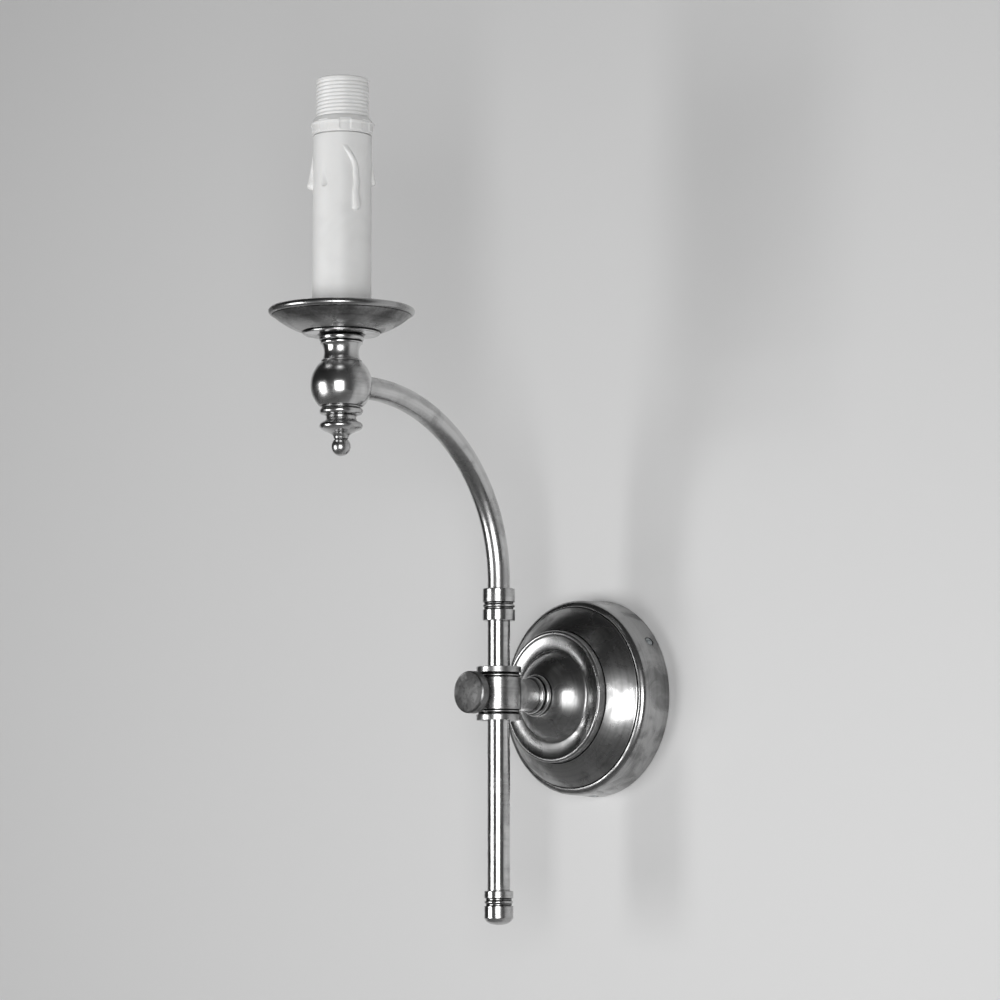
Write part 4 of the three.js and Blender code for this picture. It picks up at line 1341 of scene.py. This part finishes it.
class WALLLIGHT_OT_candle_sleeve(bpy.types.Operator):
    """Candle sleeve with moulded wax drips"""

    bl_idname = "wall_light.candle_sleeve"
    bl_label = "Candle sleeve"
    bl_options = {"REGISTER", "UNDO"}

    # each drip: direction in degrees, top, bottom, half width, share of the
    # full height, and how far its top leans sideways
    drips = (
        (-15.3, 285.5, 250.5, 1.95, 0.55, -6.4),
        (-80.9, 279, 263.5, 2.5, -0.2, 0.0),
        (-133.5, 285.5, 263.6, 3.0, 1.0, 0.6),
        (48.5, 282, 265.8, 3.0, 0.78, -0.6),
        (118, 286, 259.0, 2.3, 0.8, 3.0),
    )

    def execute(self, context):
        sizes = context.scene.wall_light_sizes
        radius, height = sizes.sleeve_radius / MM, sizes.drip_height / MM
        low, high = span("candle_sleeve")
        bore = radius - 1.3

        def waxed(angle, r, z):
            if r < radius - 0.6 or z > high.z - 0.3:
                return r
            return r + sum(self.drip(angle, z, radius, height, drip) for drip in self.drips)

        # painted shade: darker inside the second drip's shallow dimple
        def painted_shade_in_dimple(angle, r, z):
            return 6.0 * max(0.0, -self.drip(angle, z, radius, 1.0, self.drips[1]))

        fine = [(radius, high.z - 0.4 - 0.3 * i) for i in range(int((high.z - 250) / 0.3))]
        outline = [
            (bore, low.z), (radius, low.z), (radius, low.z + 20), (radius, 249), *reversed(fine),
            (radius - 0.35, high.z), (bore, high.z),
        ]
        sleeve = turned(
            "candle_sleeve_waxed",
            outline,
            "candle_plastic",
            "arm",
            CANDLE_AT,
            True,
            360,
            shape=waxed,
            walls=[[(38, low.z + 1), (21.5, low.z - 0.2)]],
            ease=0,
            longest=8.0,
            reach=3.0,
            added_shade_and_wear=painted_shade_in_dimple,
        )
        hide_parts("candle_sleeve")
        return {"FINISHED"}

    @staticmethod
    def drip(angle, z, radius, height, drip):
        """How far one drip stands out at a point: a thread that swells to a round end."""
        direction, top, bottom, half, share, lean = drip
        if not bottom < z < top:
            return 0.0
        down = (top - z) / (top - bottom)
        curve = lean * max(0.0, 1 - down * 2.6) ** 1.5 + 0.25 * math.sin(z * 0.55) * min(1, down * 2)
        middle = math.radians(direction) + curve / radius
        across = (angle - middle + math.pi) % math.tau - math.pi
        left = (z - bottom) / half
        end = math.sqrt(max(0.0, 1 - (1 - left) ** 2)) if left < 1 else 1.0
        long_thread = (top - bottom) > 30
        swell = 0.55 + 0.45 * down if long_thread else down**1.5
        bulb = 1.0 + (0.25 * math.exp(-(((z - bottom - 4) / 3.2) ** 2)) if long_thread else 0.0)
        width = half * (0.35 + 0.65 * swell) * bulb * max(end, 0.05)
        side = abs(across) * radius / width
        if side >= 1:
            return 0.0
        fade = min(1.0, down * 7)
        return height * share * swell * bulb * end * fade * math.sqrt(1 - side * side)


class WALLLIGHT_OT_lampholder(bpy.types.Operator):
    """Threaded lampholder, its screw shell and the lugged ring that holds a shade"""

    bl_idname = "wall_light.lampholder"
    bl_label = "Lampholder"
    bl_options = {"REGISTER", "UNDO"}

    def execute(self, context):
        sizes = context.scene.wall_light_sizes
        radius, pitch, depth = sizes.thread_radius / MM, sizes.thread_pitch / MM, sizes.thread_depth / MM
        low, high = span("holder_skirt")
        root = radius - 0.5
        start, stop = high.z - 32, high.z - 1.2

        def thread(angle, r, z):
            if r < root or not start < z < stop:
                return r
            turn = (z / pitch - angle / math.tau) % 1
            wave = 0.5 - 0.5 * math.cos(math.tau * turn)
            fade = min(1.0, (stop - z) / 0.8)
            return r - depth * wave * fade

        rows = [(radius, start + (high.z - 0.7 - start) * i / 240) for i in range(241)]
        outline = [
            (radius - 1.6, low.z), (root, low.z), (root, start - 0.2), *rows,
            (radius - 0.15, high.z - 0.35), (radius - 0.55, high.z), (9.3, high.z), (9.0, high.z - 0.3),
            (9.0, high.z - 1.6), (radius - 1.6, high.z - 1.6),
        ]
        skirt = turned(
            "lampholder_threaded",
            outline,
            "holder_plastic",
            "arm",
            CANDLE_AT,
            True,
            144,
            shape=thread,
            ease=0,
            reach=2.0,
        )
        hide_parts("holder_skirt")

        ring_low, ring_high = span("shade_ring")
        lug = wide("shade_ring")
        wall = lug - 1.25
        bore = radius + 0.25
        lugs = 8
        flange = ring_low.z + 5.6
        first = math.radians(7.7)  # from +X to the first notch

        def notched(angle, r, z):
            if r <= wall + 0.05 or z > flange + 0.9:
                return r
            place = ((angle - first) * lugs / math.tau + 0.5) % 1
            away = abs(place - 0.5) * 360 / lugs
            notch = 1 / (1 + math.exp((away - 10.5) * 2.6))
            return r - (r - wall) * notch * (1.0 if z < flange - 0.6 else 0.5)

        outline = [
            (bore, ring_low.z), (wall - 0.25, ring_low.z), (wall, ring_low.z + 0.3), (wall, ring_low.z + 1.0),
            (wall + 0.55, ring_low.z + 1.4), (wall + 0.6, flange - 1.0), (lug - 0.2, flange - 0.4),
            (lug, flange + 0.05), (lug - 0.1, flange + 0.5), (lug - 0.5, flange + 0.85),
            (bore + 0.9, ring_high.z - 0.6),
            (bore + 0.35, ring_high.z), (bore, ring_high.z),
        ]
        shade_ring = turned(
            "shade_ring_lugged",
            outline,
            "holder_plastic",
            "shade_ring",
            CANDLE_AT,
            True,
            360,
            shape=notched,
            walls=[[(radius - 0.3, ring_high.z), (radius - 0.3, ring_high.z + 6)]],
            ease=0.15,
            longest=1.2,
            reach=2.0,
        )
        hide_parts("shade_ring")

        shell_low, shell_high = span("screw_shell")
        shell = wide("screw_shell")

        shell_pitch = 2.8

        def rolled(angle, r, z):
            turn = (z / shell_pitch - angle / math.tau) % 1
            return r - 0.35 * (0.5 - 0.5 * math.cos(math.tau * turn))

        count = 90
        tall = shell_high.z - shell_low.z
        outer = [(shell, shell_low.z + tall * i / count) for i in range(count + 1)]
        inner = [(shell - 0.25, z) for _, z in reversed(outer)]
        screw_shell = turned(
            "screw_shell_rolled",
            [*outer, *inner],
            "raw_brass",
            "arm",
            CANDLE_AT,
            True,
            72,
            shape=rolled,
            ease=0,
        )
        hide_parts("screw_shell")
        return {"FINISHED"}


def stand(name, bm, material):
    """Puts a part of the stage in the scene."""
    mesh = bpy.data.meshes.new(name)
    bm.to_mesh(mesh)
    bm.free()
    mesh.materials.append(material)
    thing = bpy.data.objects.new(name, mesh)
    bpy.context.scene.collection.objects.link(thing)


class WALLLIGHT_OT_stage(bpy.types.Operator):
    """Wall, floor, two softboxes, dim room and the camera"""

    bl_idname = "wall_light.stage"
    bl_label = "Stage"
    bl_options = {"REGISTER", "UNDO"}

    def execute(self, context):
        colours = context.scene.wall_light_colours
        self.wall(tuple(colours.wall))
        self.floor(tuple(colours.floor))
        self.softbox("softbox_left", -28.5, -9, 1.95, 0.88, 1.1, colours.left_lamp)
        self.softbox("softbox_right", 38.5, -7, 1.9, 0.98, 1.08, colours.right_lamp)
        self.room(context)
        self.camera(context)
        context.scene.view_settings.view_transform = "Standard"
        return {"FINISHED"}

    @staticmethod
    def wall(colour):
        """A painted wall with a hole behind the backplate; seen from behind it isn't there."""
        # rolled eggshell paint: a faint orange-peel grain, and a soft gleam at a flat angle
        material = new_material("Wall_Eggshell_Paint_Rolled")
        place = add_node(material, "ShaderNodeTexCoord").outputs["Object"]
        grain = add_node(
            material, "ShaderNodeTexNoise", {"Vector": place, "Scale": 1 / (PAINT_GRAIN * MM), "Detail": 3}
        ).outputs["Fac"]
        grained = add_node(
            material, "ShaderNodeBump", {"Height": grain, "Distance": 0.02 * MM, "Strength": 1.0}
        ).outputs["Normal"]
        paint = add_node(
            material,
            "ShaderNodeBsdfPrincipled",
            {"Base Color": colour, "Roughness": 0.42, "Normal": grained},
        )
        clear = add_node(material, "ShaderNodeBsdfTransparent")
        behind = add_node(material, "ShaderNodeNewGeometry").outputs["Backfacing"]
        either = add_node(
            material, "ShaderNodeMixShader", {0: behind, 1: paint.outputs[0], 2: clear.outputs[0]}
        )
        add_node(material, "ShaderNodeOutputMaterial", {"Surface": either.outputs[0]})
        bm = bmesh.new()
        facets = 96
        hole = PLATE_RADIUS * 0.88 * MM
        half, middle, gap = 2.6, 1.6, 0.0004
        inner, outer = [], []
        for i in range(facets):
            angle = math.tau * (i + 0.5) / facets
            c, s = math.cos(angle), math.sin(angle)
            stretch = half / max(abs(c), abs(s))
            inner.append(bm.verts.new((hole * c, gap, hole * s)))
            outer.append(bm.verts.new((stretch * c, gap, stretch * s + middle)))
        for i in range(facets):
            j = (i + 1) % facets
            bm.faces.new([inner[i], outer[i], outer[j], inner[j]])
        bmesh.ops.recalc_face_normals(bm, faces=bm.faces)
        bm.faces.ensure_lookup_table()
        bm.normal_update()
        if bm.faces[0].normal.y > 0:
            bmesh.ops.reverse_faces(bm, faces=bm.faces)
        stand("wall", bm, material)

    @staticmethod
    def floor(colour):
        """A plain floor, well below the light."""
        # matt sealed concrete: even and pale, with wide faint clouds
        material = new_material("Floor_Concrete_Sealed_Matt")
        place = add_node(material, "ShaderNodeTexCoord").outputs["Object"]
        cloud = add_node(
            material, "ShaderNodeTexNoise", {"Vector": place, "Scale": 1 / (FLOOR_CLOUD * MM), "Detail": 3}
        ).outputs["Fac"]
        clouded = add_node(
            material,
            "ShaderNodeMapRange",
            {"Value": cloud, "From Min": 0.3, "From Max": 0.8, "To Max": 0.25},
            interpolation_type="SMOOTHSTEP",
        ).outputs["Result"]
        base = add_node(
            material,
            "ShaderNodeMix",
            {0: clouded, 6: colour, 7: darker(colour, 0.9)},
            data_type="RGBA",
        ).outputs[2]
        paint = add_node(material, "ShaderNodeBsdfPrincipled", {"Base Color": base, "Roughness": 0.7})
        add_node(material, "ShaderNodeOutputMaterial", {"Surface": paint.outputs[0]})
        bm = bmesh.new()
        bmesh.ops.create_grid(bm, x_segments=8, y_segments=8, size=4)
        for vertex in bm.verts:
            vertex.co.z = FLOOR_LEVEL
        stand("floor", bm, material)

    @staticmethod
    def softbox(name, azimuth, elevation, distance, width, height, power):
        """A rectangular softbox that faces the light, at an azimuth from straight in front."""
        data = bpy.data.lights.new(name, "AREA")
        data.shape = "RECTANGLE"
        data.size, data.size_y = width, height
        data.energy = power
        data.spread = math.radians(115)
        lamp = bpy.data.objects.new(name, data)
        a, e = math.radians(azimuth), math.radians(elevation)
        target = Vector((0, -0.13, 0.05))
        way = Vector((math.sin(a) * math.cos(e), -math.cos(a) * math.cos(e), math.sin(e)))
        lamp.location = target + distance * way
        lamp.rotation_euler = (target - lamp.location).to_track_quat("-Z", "Y").to_euler()
        lamp.visible_camera = False
        bpy.context.scene.collection.objects.link(lamp)

    @staticmethod
    def room(context):
        """Dim room in front of the wall, light behind it, pale where the camera sees it."""
        world = bpy.data.worlds.new("room")
        world.use_nodes = True
        world.node_tree.nodes.clear()
        way = add_node(world, "ShaderNodeTexCoord").outputs["Generated"]
        split = add_node(world, "ShaderNodeSeparateXYZ", {0: way})
        behind = add_node(
            world,
            "ShaderNodeMapRange",
            {"Value": split.outputs["Y"], "From Min": -0.05, "From Max": 0.25},
            interpolation_type="SMOOTHSTEP",
        ).outputs["Result"]
        right = add_node(
            world,
            "ShaderNodeMapRange",
            {"Value": split.outputs["X"], "From Min": -0.5, "From Max": 0.95},
            interpolation_type="SMOOTHSTEP",
        ).outputs["Result"]
        camera = add_node(world, "ShaderNodeLightPath").outputs["Is Camera Ray"]
        front = add_node(
            world,
            "ShaderNodeMix",
            {0: right, 6: linear("#292929"), 7: linear("#4c4c4c")},
            data_type="RGBA",
        ).outputs[2]
        seen = add_node(
            world, "ShaderNodeMix", {0: behind, 6: front, 7: linear("#c9c9c9")}, data_type="RGBA"
        ).outputs[2]
        colour = add_node(
            world, "ShaderNodeMix", {0: camera, 6: seen, 7: linear("#cfcfce")}, data_type="RGBA"
        ).outputs[2]
        background = add_node(world, "ShaderNodeBackground", {"Color": colour, "Strength": 1.0})
        add_node(world, "ShaderNodeOutputWorld", {"Surface": background.outputs[0]})
        context.scene.world = world

    @staticmethod
    def camera(context):
        """The camera, low and to the right, level with the wall light's middle."""
        data = bpy.data.cameras.new("camera")
        data.lens = 137.5
        data.sensor_width = 36
        data.clip_start = 0.05
        data.clip_end = 20
        camera = bpy.data.objects.new("camera", data)
        camera.location = (1.4779, -1.5559, -0.11165)
        camera.rotation_euler = (math.radians(90 + 5.96), 0, math.radians(44.982))
        context.scene.collection.objects.link(camera)
        context.scene.camera = camera


STEPS = (
    WALLLIGHT_OT_finishes,
    WALLLIGHT_OT_backplate,
    WALLLIGHT_OT_side_screws,
    WALLLIGHT_OT_collar,
    WALLLIGHT_OT_clamp,
    WALLLIGHT_OT_thumb_screw,
    WALLLIGHT_OT_rod,
    WALLLIGHT_OT_arm,
    WALLLIGHT_OT_candle_fitting,
    WALLLIGHT_OT_candle_sleeve,
    WALLLIGHT_OT_lampholder,
    WALLLIGHT_OT_stage,
)


class WALLLIGHT_PT_panel(bpy.types.Panel):
    """Sizes, colours and the pieces, in order"""

    bl_idname = "WALLLIGHT_PT_panel"
    bl_label = "Wall Light"
    bl_space_type = "VIEW_3D"
    bl_region_type = "UI"
    bl_category = "Wall Light"

    def draw(self, context):
        layout = self.layout
        for step in STEPS:
            layout.operator(step.bl_idname)
        for group in (context.scene.wall_light_sizes, context.scene.wall_light_colours):
            box = layout.box()
            for name in group.__annotations__:
                box.prop(group, name)


CLASSES = (WallLightSizes, WallLightColours, *STEPS, WALLLIGHT_PT_panel)


def register():
    for cls in CLASSES:
        bpy.utils.register_class(cls)
    bpy.types.Scene.wall_light_sizes = bpy.props.PointerProperty(type=WallLightSizes)
    bpy.types.Scene.wall_light_colours = bpy.props.PointerProperty(type=WallLightColours)


def unregister():
    del bpy.types.Scene.wall_light_colours
    del bpy.types.Scene.wall_light_sizes
    for cls in reversed(CLASSES):
        bpy.utils.unregister_class(cls)


def main():
    register()
    bpy.ops.wall_light.finishes()
    bpy.ops.wall_light.backplate()
    bpy.ops.wall_light.side_screws()
    bpy.ops.wall_light.collar()
    bpy.ops.wall_light.clamp()
    bpy.ops.wall_light.thumb_screw()
    bpy.ops.wall_light.rod()
    bpy.ops.wall_light.arm()
    bpy.ops.wall_light.candle_fitting()
    bpy.ops.wall_light.candle_sleeve()
    bpy.ops.wall_light.lampholder()
    bpy.ops.wall_light.stage()


if __name__ == "__main__":
    main()
